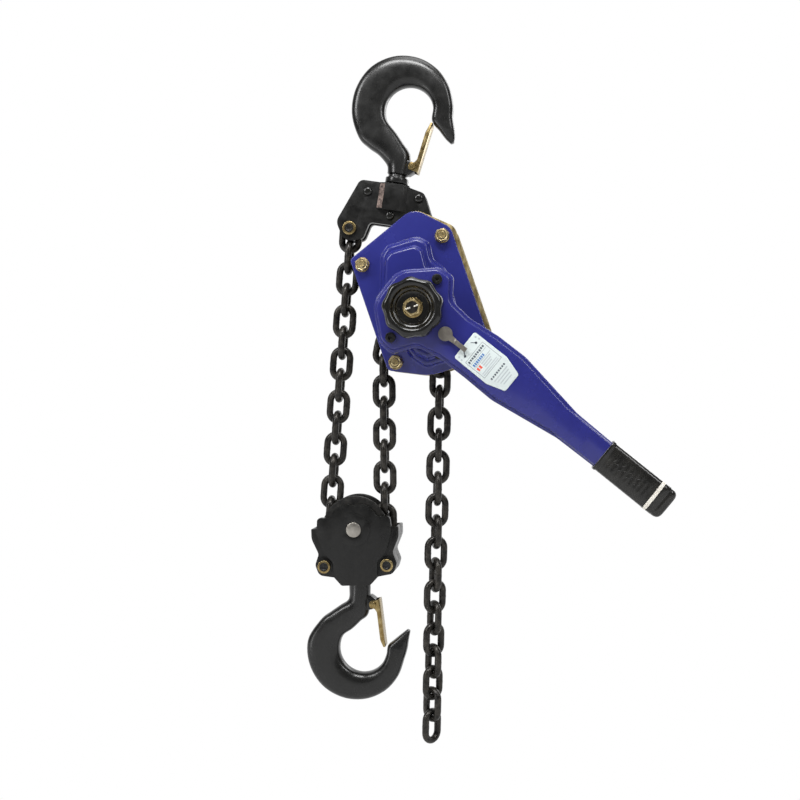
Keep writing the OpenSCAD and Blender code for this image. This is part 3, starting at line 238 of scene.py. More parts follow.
def finish(piece, key, body, *nodes):
    """Gives a piece its finish and its body, and lets it stand for CAD nodes."""
    piece.data.materials.clear()
    piece.data.materials.append(FINISHES[key])
    for polygon in piece.data.polygons:
        polygon.material_index = 0
    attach(piece, body)
    if nodes:
        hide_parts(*nodes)


def dress(node, key, width, segments=2):
    """A copy of a CAD node with its sharp edges broken, which stands for the node."""
    source = frame["nodes"][node]
    bm = bmesh.new()
    bm.from_mesh(source.data)
    bmesh.ops.remove_doubles(bm, verts=bm.verts, dist=1e-6)
    bmesh.ops.dissolve_limit(bm, angle_limit=radians(0.6), verts=bm.verts, edges=bm.edges)
    mesh = bpy.data.meshes.new(node + "_dressed")
    bm.to_mesh(mesh)
    bm.free()
    piece = add_object(node + "_dressed", mesh)
    if width:
        bevel = piece.modifiers.new("edges", "BEVEL")
        bevel.width = width / 1000
        bevel.segments = segments
        bevel.limit_method = "ANGLE"
        bevel.angle_limit = radians(SHARP)
        bevel.use_clamp_overlap = True
        apply_modifiers(piece)
    piece.data.shade_smooth()
    piece.data.set_sharp_from_angle(angle=radians(SHARP + 3))
    finish(piece, key, BODY_OF[node], node)


def dress_all(*rows):
    """Dresses nodes: each row is their names and then what dress() asks for."""
    for names, *look in rows:
        for node in names.split():
            dress(node, *look)


# --- materials ---

def add_node(tree, kind, **values):
    """A node of this kind, with the values set on its input sockets."""
    node = tree.nodes.new(kind)
    for key, value in values.items():
        node.inputs[key.replace("_", " ")].default_value = value
    return node


def chain_nodes(tree, *sockets):
    """Links each output to the input that follows it."""
    for start, end in zip(sockets[::2], sockets[1::2]):
        tree.links.new(start, end)


def surface(name, color, other, metallic, rough, spots=60, bump=0.15, grain=900, coat=0.0,
            depth=0.0004, stretch=(1, 1, 1), specular=0.5):
    """Finish whose colour wanders between two tones, from its least rough to its most rough.

    Spots is how fine the wandering is; bump and grain are how strong and how fine the dents.
    """
    mat = bpy.data.materials.new(name)
    mat.use_nodes = True
    tree = mat.node_tree
    shader = tree.nodes["Principled BSDF"]
    for key, value in (("Metallic", metallic), ("Coat Weight", coat),
                       ("Coat Roughness", COAT_ROUGH), ("Specular IOR Level", specular)):
        shader.inputs[key].default_value = value
    place = add_node(tree, "ShaderNodeTexCoord")
    mapping = add_node(tree, "ShaderNodeMapping", Scale=stretch)
    wide = add_node(tree, "ShaderNodeTexNoise", Scale=spots, Detail=6, Roughness=0.6)
    ramp = add_node(tree, "ShaderNodeValToRGB")
    for end, at, tone in zip(ramp.color_ramp.elements, (0.36, 0.7), (color, other)):
        end.position = at
        end.color = (*tone, 1)
    gloss = add_node(tree, "ShaderNodeMapRange", From_Min=0.3, From_Max=0.7, To_Min=rough[0],
                     To_Max=rough[1])
    fine = add_node(tree, "ShaderNodeTexNoise", Scale=grain, Detail=4)
    push = add_node(tree, "ShaderNodeBump", Strength=bump, Distance=depth)
    chain_nodes(tree, place.outputs["Object"], mapping.inputs["Vector"],
                mapping.outputs["Vector"], wide.inputs["Vector"],
                wide.outputs["Fac"], ramp.inputs["Fac"],
                ramp.outputs["Color"], shader.inputs["Base Color"],
                wide.outputs["Fac"], gloss.inputs["Value"],
                gloss.outputs["Result"], shader.inputs["Roughness"],
                mapping.outputs["Vector"], fine.inputs["Vector"],
                fine.outputs["Fac"], push.inputs["Height"],
                push.outputs["Normal"], shader.inputs["Normal"])
    return mat


FINISHES = {}
COAT_ROUGH = 0.12


def make_finishes():
    tones = bpy.context.scene.hoist_finishes
    cover, lever, black = list(tones.cover_blue), list(tones.lever_blue), list(tones.black)
    FINISHES.update(
        cover=surface("pressed_blue_enamel", cover, [c * 1.15 for c in cover],
                      0, (0.22, 0.3), 14, 0.02, 120, coat=0.3, specular=0.35),
        lever=surface("lever_blue_enamel", lever, [c * 1.12 for c in lever],
                      0, (0.22, 0.3), 16, 0.02, 120, coat=0.3, specular=0.35),
        forged=surface("forged_black_paint", black, [c * 2.2 for c in black],
                       0, (0.24, 0.38), 55, 0.26, 110, depth=0.0006, coat=0.15, specular=0.4),
        cast=surface("cast_black_paint", black, [c * 2 for c in black],
                     0, (0.26, 0.44), 80, 0.36, 330, depth=0.0005, coat=0.1, specular=0.3),
        chain=surface("oiled_black_chain", [0.011, 0.0105, 0.01], [0.05, 0.045, 0.038],
                      0.5, (0.24, 0.42), 120, 0.22, 700, depth=0.0003, specular=0.4),
        gold=surface("yellow_plated_sheet", [0.12, 0.085, 0.03], [0.4, 0.32, 0.16],
                     0.7, (0.34, 0.5), 140, 0.2, 500, stretch=(1, 1, 0.35)),
        zinc=surface("yellow_zinc", [0.22, 0.15, 0.055], [0.44, 0.35, 0.17],
                     0.95, (0.2, 0.34), 130, 0.08, 900),
        plated=surface("bright_yellow_zinc", [0.36, 0.27, 0.12], [0.72, 0.6, 0.34],
                       0.7, (0.18, 0.3), 150, 0.06, 900),
        bright=surface("drawn_steel", [0.55, 0.53, 0.48], [0.7, 0.68, 0.62],
                       0.7, (0.22, 0.34), 90, 0.06, 1200),
        steel=surface("machined_steel", [0.3, 0.28, 0.25], [0.44, 0.42, 0.38],
                      0.9, (0.3, 0.42), 90, 0.1, 1200),
        selector=surface("sanded_steel", [0.15, 0.137, 0.12], [0.22, 0.2, 0.175],
                         0.6, (0.4, 0.52), 150, 0.16, 1500),
        shaft=surface("dark_steel", [0.02, 0.018, 0.016], [0.05, 0.046, 0.04],
                      0.7, (0.3, 0.45), 110, 0.12, 1100),
        dark=surface("black_oxide", [0.014, 0.014, 0.014], [0.035, 0.033, 0.03],
                     0.5, (0.34, 0.5), 100, 0.2, 800, specular=0.35),
        bronze=surface("sintered_bronze", [0.3, 0.18, 0.08], [0.42, 0.27, 0.13],
                       0.8, (0.4, 0.55), 200, 0.2, 1600),
        wheel=surface("wheel_black_gloss", [0.004, 0.004, 0.0035], [0.01, 0.01, 0.009],
                      0, (0.18, 0.26), 50, 0.03, 300, coat=0.3, specular=0.35),
        screw=surface("screw_black", [0.008, 0.008, 0.008], [0.02, 0.02, 0.02],
                      0.4, (0.25, 0.4), 200, 0.1, 1500, specular=0.4),
        grip=surface("grip_black_vinyl", [0.006, 0.006, 0.0055], [0.02, 0.019, 0.017],
                     0, (0.16, 0.28), 70, 0.2, 160, depth=0.0006, coat=0.2, specular=0.35),
        # Pale brownish paint for a strip on the yoke boss's left flank: a painted highlight
        # where light falls on that flank
        rubbed=surface("rubbed_edge", [0.03, 0.02, 0.018], [0.32, 0.24, 0.21],
                       0.3, (0.4, 0.55), 230, 0.3, 900),
        band=surface("pale_tape", [0.66, 0.62, 0.55], [0.76, 0.74, 0.68],
                     0, (0.4, 0.55), 120, 0.1, 800),
        label=surface("label_film", list(tones.label), [c * 0.94 for c in tones.label],
                      0, (0.3, 0.42), 30, 0.04, 500),
        ink=surface("label_ink", [0.03, 0.04, 0.06], [0.06, 0.07, 0.09], 0, (0.4, 0.5)),
        ink_blue=surface("label_blue", [0.03, 0.13, 0.36], [0.05, 0.17, 0.42], 0, (0.4, 0.5)),
        ink_red=surface("label_red", [0.62, 0.05, 0.03], [0.7, 0.09, 0.05], 0, (0.4, 0.5)),
        ghost=surface("label_grey", [0.38, 0.42, 0.44], [0.46, 0.5, 0.52], 0, (0.4, 0.5)),
    )


# --- chain ---

def link_mesh():
    """One welded link along Z, a little thicker at its weld."""
    across, along = 14, 12
    path = []
    for k in range(along + 1):
        a = pi * k / along
        path.append((LEG_X * cos(a), BOW_Z + LEG_X * sin(a)))
    path += [(-LEG_X, z) for z in (BOW_Z * 0.62, 3.2, 1.6, 0.9, 0, -0.9, -1.6, -3.2,
                                   -BOW_Z * 0.62)]
    for k in range(along + 1):
        a = pi + pi * k / along
        path.append((LEG_X * cos(a), -BOW_Z + LEG_X * sin(a)))
    path += [(LEG_X, z) for z in (-BOW_Z * 0.5, 0, BOW_Z * 0.5)]
    bm = bmesh.new()
    rings = []
    n = len(path)
    for i, (x, z) in enumerate(path):
        px, pz = path[i - 1]
        nx, nz = path[(i + 1) % n]
        t = Vector((nx - px, 0, nz - pz)).normalized()
        out = Vector((t.z, 0, -t.x))
        weld = max(0.0, 1 - abs(z) / 2.4) if x < 0 and abs(x + LEG_X) < 0.01 else 0.0
        r = WIRE / 2 * (1 + 0.05 * weld)
        rings.append([Vector((x, 0, z)) + r * (cos(b) * out + sin(b) * Vector((0, 1, 0)))
                      for b in (2 * pi * k / across for k in range(across))])
    skin_rings(bm, rings, closed=True)
    return mesh_object("link_form", bm, Matrix(), 180)


def along_strand(p0, p1, first, last, count, twist):
    along = (p1 - p0).normalized()
    gap = ((p1 - p0).length - first - last) / (count - 1)
    lean = atan2(along.x, along.y) * 180 / pi
    return [(p0 + along * (first + gap * i), lean, twist + 90 * i) for i in range(count)]


def round_wrap(centre, start, count, face_first):
    out = []
    for i in range(count):
        a = start - 45 * i
        face_on = (i % 2 == 0) == face_first
        r = FACE_R if face_on else EDGE_R
        out.append((centre + r * Vector((cos(radians(a)), sin(radians(a)))), -a,
                    0 if face_on else 90))
    return out


def chain_runs():
    anchor = YOKE @ Vector((-YOKE_ARM, 0, -YOKE_DROP))
    anchor = Vector((anchor.x, anchor.z))
    left_joint = IDLER - Vector((JOINT_R, 0))
    right_joint = IDLER + Vector((JOINT_R, 0))
    first = HALF_INNER - 6 - 0.1
    steps = ((left_joint - anchor).length - first - EDGE_HALF) / PITCH
    left_count = 2 * ceil((steps - 0.05 + 1) / 2)
    start = radians(180 - 4 * 45 - 2 * FACE_ANGLE)
    tail = AXIS + JOINT_R * Vector((cos(start), sin(start)))
    bend = tail - 2 * (PITCH - TAIL_SLACK) * Vector((sin(radians(TAIL_BEND)),
                                                     cos(radians(TAIL_BEND))))
    free = []
    for i in range(TAIL_LINKS):
        start, lean, k = (tail, TAIL_BEND, i) if i < 2 else (bend, TAIL_LEAN, i - 2)
        down = Vector((-sin(radians(lean)), -cos(radians(lean))))
        slack = TAIL_SLACK * (i + 1 if i < 2 else min(i - 1, 2))
        roll = min(TAIL_ROLL * (i + 1), 4 * TAIL_ROLL + TAIL_TWIST * (i - 3))
        free.append((start + (EDGE_HALF + PITCH * k - slack) * down, lean,
                     90 * (i + 1) + roll))
    return {
        "chain_left_strand": along_strand(anchor, left_joint, first, EDGE_HALF,
                                          left_count, 0),
        "chain_middle_strand": along_strand(TOP_JOINT, BEND, EDGE_HALF, FACE_HALF, 2, 90)
        + along_strand(BEND, right_joint, EDGE_HALF, FACE_HALF, 2 * MIDDLE_PAIRS, 90),
        "chain_on_load_sheave": round_wrap(AXIS, 180 - FACE_ANGLE, 5, True),
        "chain_on_idler_sheave": round_wrap(IDLER, -EDGE_ANGLE, 4, False),
        "chain_tail": free,
    }


def repeat_tree():
    """Geometry nodes that set one piece on every point, turned by the point's attribute."""
    tree = bpy.data.node_groups.new("set_on_points", "GeometryNodeTree")
    for name, way, kind in (("Points", "INPUT", "Geometry"), ("Piece", "INPUT", "Object"),
                            ("Size", "INPUT", "Float"), ("Finish", "INPUT", "Material"),
                            ("Pieces", "OUTPUT", "Geometry")):
        tree.interface.new_socket(name, in_out=way, socket_type="NodeSocket" + kind)
    given = add_node(tree, "NodeGroupInput")
    info = add_node(tree, "GeometryNodeObjectInfo")
    turn = add_node(tree, "GeometryNodeInputNamedAttribute")
    turn.data_type = "FLOAT_VECTOR"
    turn.inputs["Name"].default_value = "turn"
    put = add_node(tree, "GeometryNodeInstanceOnPoints")
    real = add_node(tree, "GeometryNodeRealizeInstances")
    paint = add_node(tree, "GeometryNodeSetMaterial")
    end = add_node(tree, "NodeGroupOutput")
    chain_nodes(tree, given.outputs["Points"], put.inputs["Points"],
                given.outputs["Piece"], info.inputs["Object"],
                info.outputs["Geometry"], put.inputs["Instance"],
                turn.outputs["Attribute"], put.inputs["Rotation"],
                given.outputs["Size"], put.inputs["Scale"],
                put.outputs["Instances"], real.inputs["Geometry"],
                real.outputs["Geometry"], paint.inputs["Geometry"],
                given.outputs["Finish"], paint.inputs["Material"],
                paint.outputs["Geometry"], end.inputs["Pieces"])
    return tree


def set_pieces(name, tree, form, places, key, body, *nodes):
    """The form set at every place (a 4x4 in metres), as one plain mesh."""
    mesh = bpy.data.meshes.new(name + "_points")
    mesh.from_pydata([m.to_translation() for m in places], [], [])
    turn = mesh.attributes.new("turn", "FLOAT_VECTOR", "POINT")
    for i, m in enumerate(places):
        turn.data[i].vector = m.to_euler("XYZ")
    carrier = add_object(name, mesh)
    mod = carrier.modifiers.new("set", "NODES")
    mod.node_group = tree
    keys = {s.name: s.identifier for s in tree.interface.items_tree if s.in_out == "INPUT"}
    mod[keys["Piece"]] = form
    mod[keys["Size"]] = 1.0
    mod[keys["Finish"]] = FINISHES[key]
    apply_modifiers(carrier)
    carrier.data.name = name
    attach(carrier, body)
    if nodes:
        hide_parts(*nodes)


# --- hooks ---

# Each hook from its tip to its shank, seen from the middle of its bowl: pairs of an inner and
# an outer point of the horn and the neck, and the depth of the back at angles round the bowl
TOP_FORM = dict(
    horn=[[(31, -37.3), (35.3, -34.8)], [(22.6, -31.4), (35.6, -28.5)],
          [(12, -21), (33, -16.5)], [(0.2, -9.5), (28.4, -1)]],
    keys=[(15, 0.66), (45, 0.74), (75, 0.885), (105, 1.045), (135, 1.155), (165, 1.14),
          (190, 1.105), (215, 1.065)],
    neck=[[(-12, -34), (-48.8, -57.7)], [(-1, -46), (-33, -66)], [(10.8, -60), (-19.8, -78)]],
    offset=BOWL_OFFSET, shoulder=123.5, latch=(16.6, -110.3), stem_end=164)
LOW_FORM = dict(
    horn=[[(29.6, -25.2), (33.6, -22.6)], [(21.6, -19.3), (32.4, -17.5)],
          [(10.6, -11), (30.6, -9.5)], [(1.6, -3.4), (28.4, 2)]],
    keys=[(15, 0.6), (45, 0.67), (75, 0.8), (105, 0.93), (135, 1.05), (165, 1.085),
          (190, 1.065), (215, 0.895)],
    neck=[[(-14, -28), (-45, -51.5)], [(-2, -38.5), (-31, -60.5)],
          [(9.5, -49.5), (-18, -69.5)]],
    offset=LOW_OFFSET, shoulder=125.6, latch=(17.2, -95.6), stem_end=145.6)
SHANK_R, STEM_R, BACK_DEPTH, HALF_THICK = 15.0, 11, 43, 14.5
# Half the lug that carries the latch, and the room that the latch needs beside it
HALF_LUG, LATCH_ROOM = 10.1, 7.8
# By station from the tip: how square the hook's section is, and how thick it is
SQUARE_KEYS = [(0, 0.8), (3, 0.6), (5, 0.66), (7, 0.76), (9, 0.7), (12, 0.56), (14, 0.7),
               (16, 1)]
THICK_KEYS = [(0, 0.3), (1, 0.52), (2, 0.75), (3, 0.87), (5, 1), (12, 1), (14, 0.98),
              (16, 1.035), (18, 1.035)]


def between(keys, x):
    if x <= keys[0][0]:
        return keys[0][1]
    for (x0, y0), (x1, y1) in zip(keys, keys[1:]):
        if x <= x1:
            return y0 + (y1 - y0) * (x - x0) / (x1 - x0)
    return keys[-1][1]


def hook_stations(form):
    pairs = [[Vector((BOWL_R + x, z)) for x, z in pair] for pair in form["horn"]]
    for a in range(15, 216, 25):
        ray = Vector((cos(radians(a)), sin(radians(a))))
        pairs.append([ray * BOWL_R, ray * (BOWL_R + BACK_DEPTH * between(form["keys"], a))])
    pairs += [[Vector(p) for p in pair] for pair in form["neck"]]
    right, left = SHANK_R - form["offset"], -SHANK_R - form["offset"]
    low = BOWL_R - form["shoulder"]
    pairs.append([Vector((right, -84)), Vector((left, -87))])
    pairs.append([Vector((right, low + 1.2)), Vector((left, low + 1.2))])
    pairs.append([Vector((right - 1.2, low)), Vector((left + 1.2, low))])
    return pairs


def spline(p0, p1, p2, p3, t):
    return 0.5 * ((2 * p1) + (p2 - p0) * t + (2 * p0 - 5 * p1 + 4 * p2 - p3) * t * t
                  + (3 * p1 - p0 - 3 * p2 + p3) * t ** 3)


def forged_hook(name, place, form, body, node):
    bm = bmesh.new()
    pairs = hook_stations(form)
    n, steps, count = len(pairs), 6, 56
    rings = []
    for i in range(n - 1):
        quad = [pairs[max(0, min(n - 1, i + k))] for k in (-1, 0, 1, 2)]
        straight = i >= n - 3
        for s in range(steps + (1 if i == n - 2 else 0)):
            t = s / steps
            if straight:
                a, b = quad[1][0].lerp(quad[2][0], t), quad[1][1].lerp(quad[2][1], t)
            else:
                a = spline(*[q[0] for q in quad], t)
                b = spline(*[q[1] for q in quad], t)
            where = i + t
            half_y = HALF_THICK * between(THICK_KEYS, where)
            if where > n - 2:
                half_y -= 1.2 * (where - n + 2)
            square = between(SQUARE_KEYS, where)
            mid, half = (a + b) / 2, (b - a) / 2
            ring = []
            for k in range(count):
                c, sn = cos(2 * pi * k / count), sin(2 * pi * k / count)
                c = (1 if c > 0 else -1) * abs(c) ** square
                sn = (1 if sn > 0 else -1) * abs(sn) ** square
                p = mid + half * c
                ring.append(Vector((p.x, half_y * sn, p.y - BOWL_R)))
            rings.append(ring)
    skin_rings(bm, rings)
    hook = mesh_object(name, bm, place, 180)
    lug = bmesh.new()
    shape = rounded([(-14, -12, 2), (-2.3, -12, 2), (3.8, -7, 2.5), (5.2, -1, 3),
                     (4.5, 4.5, 3.5), (-2, 7, 3), (-16, 9, 2)])
    shape = [p + Vector(form["latch"]) for p in shape]
    pressed(lug, shape, [(-1.2, -HALF_LUG), (-0.3, -HALF_LUG + 0.4), (0, -HALF_LUG + 1.4),
                         (0, HALF_LUG - 1.4), (-0.3, HALF_LUG - 0.4), (-1.2, HALF_LUG)])
    lug = mesh_object(name + "_lug", lug, place, 40)
    cutters = []
    for side in (-1, 1):
        cut = bmesh.new()
        y0, y1 = sorted((side * HALF_LUG, side * 32))
        lathe(cut, [(LATCH_ROOM, y0), (LATCH_ROOM, y1)], form["latch"], 48)
        cutters.append(mesh_object(name + "_cut", cut, place, 180))
    for cutter in cutters:
        mod = hook.modifiers.new("room", "BOOLEAN")
        mod.operation = "DIFFERENCE"
        mod.object = cutter
        mod.solver = "EXACT"
    mod = hook.modifiers.new("lug", "BOOLEAN")
    mod.operation = "UNION"
    mod.object = lug
    mod.solver = "EXACT"
    apply_modifiers(hook)
    remove(*cutters, lug)
    hook.data.shade_smooth()
    hook.data.set_sharp_from_angle(angle=radians(42))
    stem = bmesh.new()
    lathe_z(stem, [(STEM_R, -form["stem_end"]), (STEM_R, 0.5 - form["shoulder"])],
            -form["offset"])
    stem = mesh_object(name + "_stem", stem, place, 40)
    finish(stem, "steel", body)
    finish(hook, "forged", body, node)


def lathe_z(bm, profile, x, count=48):
    skin_rings(bm, [[Vector((x + r * cos(2 * pi * k / count), r * sin(2 * pi * k / count), z))
                     for k in range(count)] for r, z in profile])


# --- pressed covers ---

STAY_SHIFT, STAY_SPAN, STAY_UP, STAY_DOWN = 6.3, 116.2, 86.8, 55.0
STAYS = [(STAY_SHIFT - STAY_SPAN / 2, STAY_UP), (STAY_SHIFT + STAY_SPAN / 2, STAY_UP),
         (STAY_SHIFT - STAY_SPAN / 2, -STAY_DOWN), (STAY_SHIFT + STAY_SPAN / 2, -STAY_DOWN)]
PIN_AT = (HOIST.inverted() @ YOKE @ Vector((YOKE_ARM, 0, -YOKE_DROP)))
PLATE = [(-66, -62, 8), (-14, -87.5, 60), (28, -89.5, 60), (79, -62, 16), (79, 94, 18),
         (PIN_AT.x - 1, PIN_AT.z + 43, 24), (-66, 99.5, 7)]
HUMP = [(-22, 88, 12), (-10, 97.5, 12), (31, 95, 14), (43, 84, 12), (40, 60, 14),
        (52, 42, 14), (49, -15, 30), (38, -40, 16), (34, -60, 14), (20, -76, 14),
        (-14, -75.5, 14), (-26, -60, 14), (-32, -42, 12), (-49, -15, 30), (-46, 24, 30)]
HIGH = [(-18, 81, 9), (-7, 87, 9), (25, 84.5, 11), (33, 75, 9), (31, 50, 10), (44, 36, 12),
        (44, -15, 30), (30, -38, 12), (26, -55, 10), (14, -66, 10), (-8, -66, 10),
        (-20, -54, 10), (-27, -38, 12), (-44, -15, 30), (-41, 24, 28)]
# Tip radius of the two disc gears, their distance from the axis, and the room round them
DISC_GEAR_R, DISC_GEAR_UP, GEAR_ROOM, SHEET = 1.75 * 18 + 0.85 * 1.75, 42, 2.2, 3


def brake_cover():
    bm = bmesh.new()
    flange = resample(rounded(PLATE), 8)
    pressed(bm, flange, [(0, -28.1), (0, -30.2), (-0.5, -30.8), (-1.2, COVER_FACE)])
    pressed(bm, resample(rounded(HUMP), 5),
            [(3, -30.4), (3, -31.2), (1.2, -32), (0, -34), (-0.6, -38.5), (-1.6, -40.6),
             (-3.6, -41.8), (-5.5, -42)])
    pressed(bm, resample(rounded(HIGH), 5),
            [(2.5, -41.5), (2.3, -42.3), (0.8, -43.2), (0, -45), (-0.6, -48.2), (-1.8, -50.2),
             (-4, -51), (-6, -51.1)])
    lathe(bm, [(47.5, -50.6), (47.5, -51.4), (46.3, -52.4), (45.8, -54), (45, -56.4),
               (43.4, -57.7), (41, -58), (24.5, -58), (24, -57)])
    cover = mesh_object("brake_cover_pressing", bm, HOIST, 50)
    finish(cover, "cover", "frame", "brake_cover")


def gear_case():
    bm = bmesh.new()
    flange = resample(rounded(PLATE), 8)
    pressed(bm, flange, [(0, 28.1), (0, 30.2), (-0.5, 30.8), (-1.2, 31)])
    big = DISC_GEAR_R + GEAR_ROOM + SHEET
    shape = []
    for side in (1, -1):
        for k in range(0, 181, 6):
            a = radians(k if side > 0 else k + 180)
            shape.append(Vector((big * cos(a), side * DISC_GEAR_UP + big * sin(a))))
    shape = resample(clean(shape), 6)
    pressed(bm, shape, [(5, 30.5), (4.8, 31.3), (1.8, 32.2), (0, 34.5), (-0.4, 57),
                        (-1.6, 60.2), (-4.4, 61.8), (-8, 62)])
    lathe(bm, [(45, 30.5), (45, 50), (44.2, 53), (42, 54.4), (38, 54.6)])
    lathe(bm, [(18, 61), (17.4, 62.6), (16, 64), (15.2, 66), (13.6, 67), (4, 67)])
    case = mesh_object("gear_case_pressing", bm, HOIST, 50)
    finish(case, "cover", "frame", "gear_case")


# --- nuts, rivets and screws ---

WASHER_T, NUT_HALF = 1.6, 17.0 / 2


def nut_form():
    """Hexagon nut with a washer face and a chamfer, its foot at the origin, up along -Y."""
    bm = bmesh.new()
    rings = []
    for y, grow in ((0, 0.94), (-0.7, 1), (-6.6, 1), (-7.6, 0.95), (-8.3, 0.86)):
        ring = []
        for k in range(36):
            a = 2 * pi * k / 36
            hexagon = NUT_HALF / cos((a + pi / 6) % (pi / 3) - pi / 6)
            limit = NUT_HALF * (1.155 if grow == 1 else 1.06)
            r = min(hexagon, limit) * grow
            ring.append(Vector((r * cos(a), y, r * sin(a))))
        rings.append(ring)
    skin_rings(bm, rings)
    lathe(bm, [(8.1, -8), (7.9, -9.1), (7.4, -9.5), (6.9, -9.3), (6.5, -8.8), (6.3, -8.1)],
          count=36)
    return mesh_object("nut_form", bm, Matrix(), 30)


def bolt_end_form():
    """Threaded end of a stay bolt with a chamfer, up along -Y."""
    bm = bmesh.new()
    profile = [(5.3, 0)]
    y = -9.6
    while y > -11.6:
        profile += [(5.4, y), (4.9, y - 0.35)]
        y -= 0.7
    profile += [(5.3, -11.9), (4.6, -12.6), (3.4, -12.7), (3.1, -12.2), (0.8, -12.1)]
    lathe(bm, profile, count=32)
    return mesh_object("bolt_end_form", bm, Matrix(), 25)


def washer_form():
    bm = bmesh.new()
    lathe(bm, [(9.4, 0), (10, -0.3), (10, -1.2), (9.5, -WASHER_T), (6, -WASHER_T)], count=40)
    return mesh_object("washer_form", bm, Matrix(), 35)


def socket_form():
    """Black end of a socket screw, its foot at the origin, up along -Y."""
    bm = bmesh.new()
    lathe(bm, [(6.1, 0), (6.1, -0.5), (5.7, -0.9), (4.5, -1), (4.1, -0.8), (3.8, -0.35),
               (3.2, -0.1), (0.6, -0.05)], count=48)
    return mesh_object("socket_form", bm, Matrix(), 40)


def place_m(frame_matrix, x, y, z, flip=False, spin=0):
    m = frame_matrix @ move(x, y, z)
    if flip:
        m = m @ Matrix.Rotation(pi, 4, "X")
    m = m @ turn_y(spin)
    out = m.copy()
    out.translation = m.translation * 0.001
    return out


# --- lever ---

LEVER_EDGE = [(14, 66, 10), (33, 38.5, 22), (66, 33, 30), (110, 35.2, 60), (155, 36, 50),
              (252, 21, 40)]
LEVER_RAISED = [(11, 61.2, 9), (31, 34, 22), (66, 28.4, 30), (110, 30.4, 60), (155, 31.2, 50),
                (238, 18.4, 30), (262, 17.9, 40)]


def arm_mid(p):
    return ARM_SHIFT * max(0.0, min(1.0, (p - 20) / 90))


def lever_outline(edge, back, end, end_q):
    up = [(p, arm_mid(p) + q, r) for p, q, r in edge]
    down = [(p, arm_mid(p) - q, r) for p, q, r in reversed(edge)]
    return ([(-50 + back, -26, 30), (-50 + back, 26, 30), (-8, 64 - back, 12)] + up
            + [(end, ARM_SHIFT + end_q, 2), (end, ARM_SHIFT - end_q, 2)] + down
            + [(-8, -64 + back, 12)])


def lever_shell(name, side, node):
    """One half of the lever: a pressed flange with a raised face that runs out to the grip."""
    bm = bmesh.new()
    far = LEVER_FRONT if side < 0 else LEVER_BACK
    mid = LEVER_MID
    flange = mid + (far - mid) * 0.62

    def y(share):
        return flange + (far - flange) * share

    outer = resample(rounded(lever_outline(LEVER_EDGE, 0, GRIP_START + 4, 19.6)), 6)
    pressed(bm, outer, [(0, mid + side * 0.06), (0, mid + (flange - mid) * 0.8),
                        (-0.35, mid + (flange - mid) * 0.93), (-1.2, flange)])
    raised = resample(rounded(lever_outline(LEVER_RAISED, 4.6, GRIP_START + 3, 17.4)), 6)
    pressed(bm, raised, [(1.3, flange - side * 0.4), (1.2, y(0.06)), (0.35, y(0.2)),
                         (0, y(0.45)), (-0.4, y(0.78)), (-1.2, y(0.94)), (-2.4, y(1))])
    shell = mesh_object(name, bm, LEVER, 50)
    finish(shell, "lever", "lever", node)


def grip():
    count = 72
    mid = LEVER_MID

    def section(p, w, t, n=0.42):
        ring = []
        for k in range(count):
            a = 2 * pi * k / count
            c, s = cos(a), sin(a)
            q = w * (1 if c > 0 else -1) * abs(c) ** n
            d = t * (1 if s > 0 else -1) * abs(s) ** n
            ring.append(Vector((p, mid + d, ARM_SHIFT + q)))
        return ring

    bm = bmesh.new()
    rings = []
    for p, w, t in ((312, 20.3, 13.2), (311.2, 22.1, 14.6), (311.8, 23, 15.1),
                    (315, 23, 15.1), (316, 22.1, 14.2), (318, 21.8, 13.9)):
        rings.append(section(p, w, t))
    p = 320.0
    while p < 389:
        low = 0.12 * (0.5 - 0.5 * cos((p - 320) / 7.0 * 2 * pi))
        rings.append(section(p, 22.0 - low, 14.0 - low))
        p += 1.5
    for p, w, t in ((398, 22, 14), (405.6, 21.9, 13.9), (406.2, 21.4, 13.4),
                    (406.9, 21.3, 13.3), (407.5, 21.7, 13.7), (411, 21.4, 13.5),
                    (414, 20.4, 12.8), (416.4, 18.4, 11.2), (417.7, 15.6, 9.4),
                    (418, 13, 7)):
        rings.append(section(p, w, t))
    skin_rings(bm, rings)
    creases = [(326, 2, 15, 30), (331, -1, 19, 32), (337, 3, 20, 30), (343, -2, 20, 34),
               (349, 1, 18, 30), (356, -3, 20, 36), (363, 2, 17, 30), (369, -4, 12, 34)]
    for p, q, length, lean in creases:
        turn = radians(lean)
        path = []
        for k in range(9):
            x = (k / 8 - 0.5) * length
            wave = 0.8 * sin(k * 1.3 + p)
            path.append((p + x * cos(turn) - wave * sin(turn),
                         q + ARM_SHIFT + x * sin(turn) + wave * cos(turn)))
        strands = []
        for k, (x, z) in enumerate(path):
            wide = 0.2 + 0.75 * sin(pi * (k + 0.4) / 8.8)
            dx, dz = -sin(turn) * wide, cos(turn) * wide
            y = mid - 13.5
            strands.append([Vector((x + dx, y, z + dz)), Vector((x, y - 0.75, z)),
                            Vector((x - dx, y, z - dz)), Vector((x, y + 0.4, z))])
        skin_rings(bm, strands)
    piece = mesh_object("lever_grip_sleeve", bm, LEVER, 60)
    finish(piece, "grip", "lever", "lever_grip")
    bm = bmesh.new()
    bands = []
    for p, w, t in ((392, 21.8, 13.8), (392.3, 22.3, 14.4), (396.9, 22.3, 14.4),
                    (397.3, 21.8, 13.8)):
        ring = section(p, w, t)
        for v in ring:
            v.x -= 0.02 * (v.z - ARM_SHIFT)
        bands.append(ring)
    skin_rings(bm, bands)
    finish(mesh_object("grip_band", bm, LEVER, 40), "band", "lever")


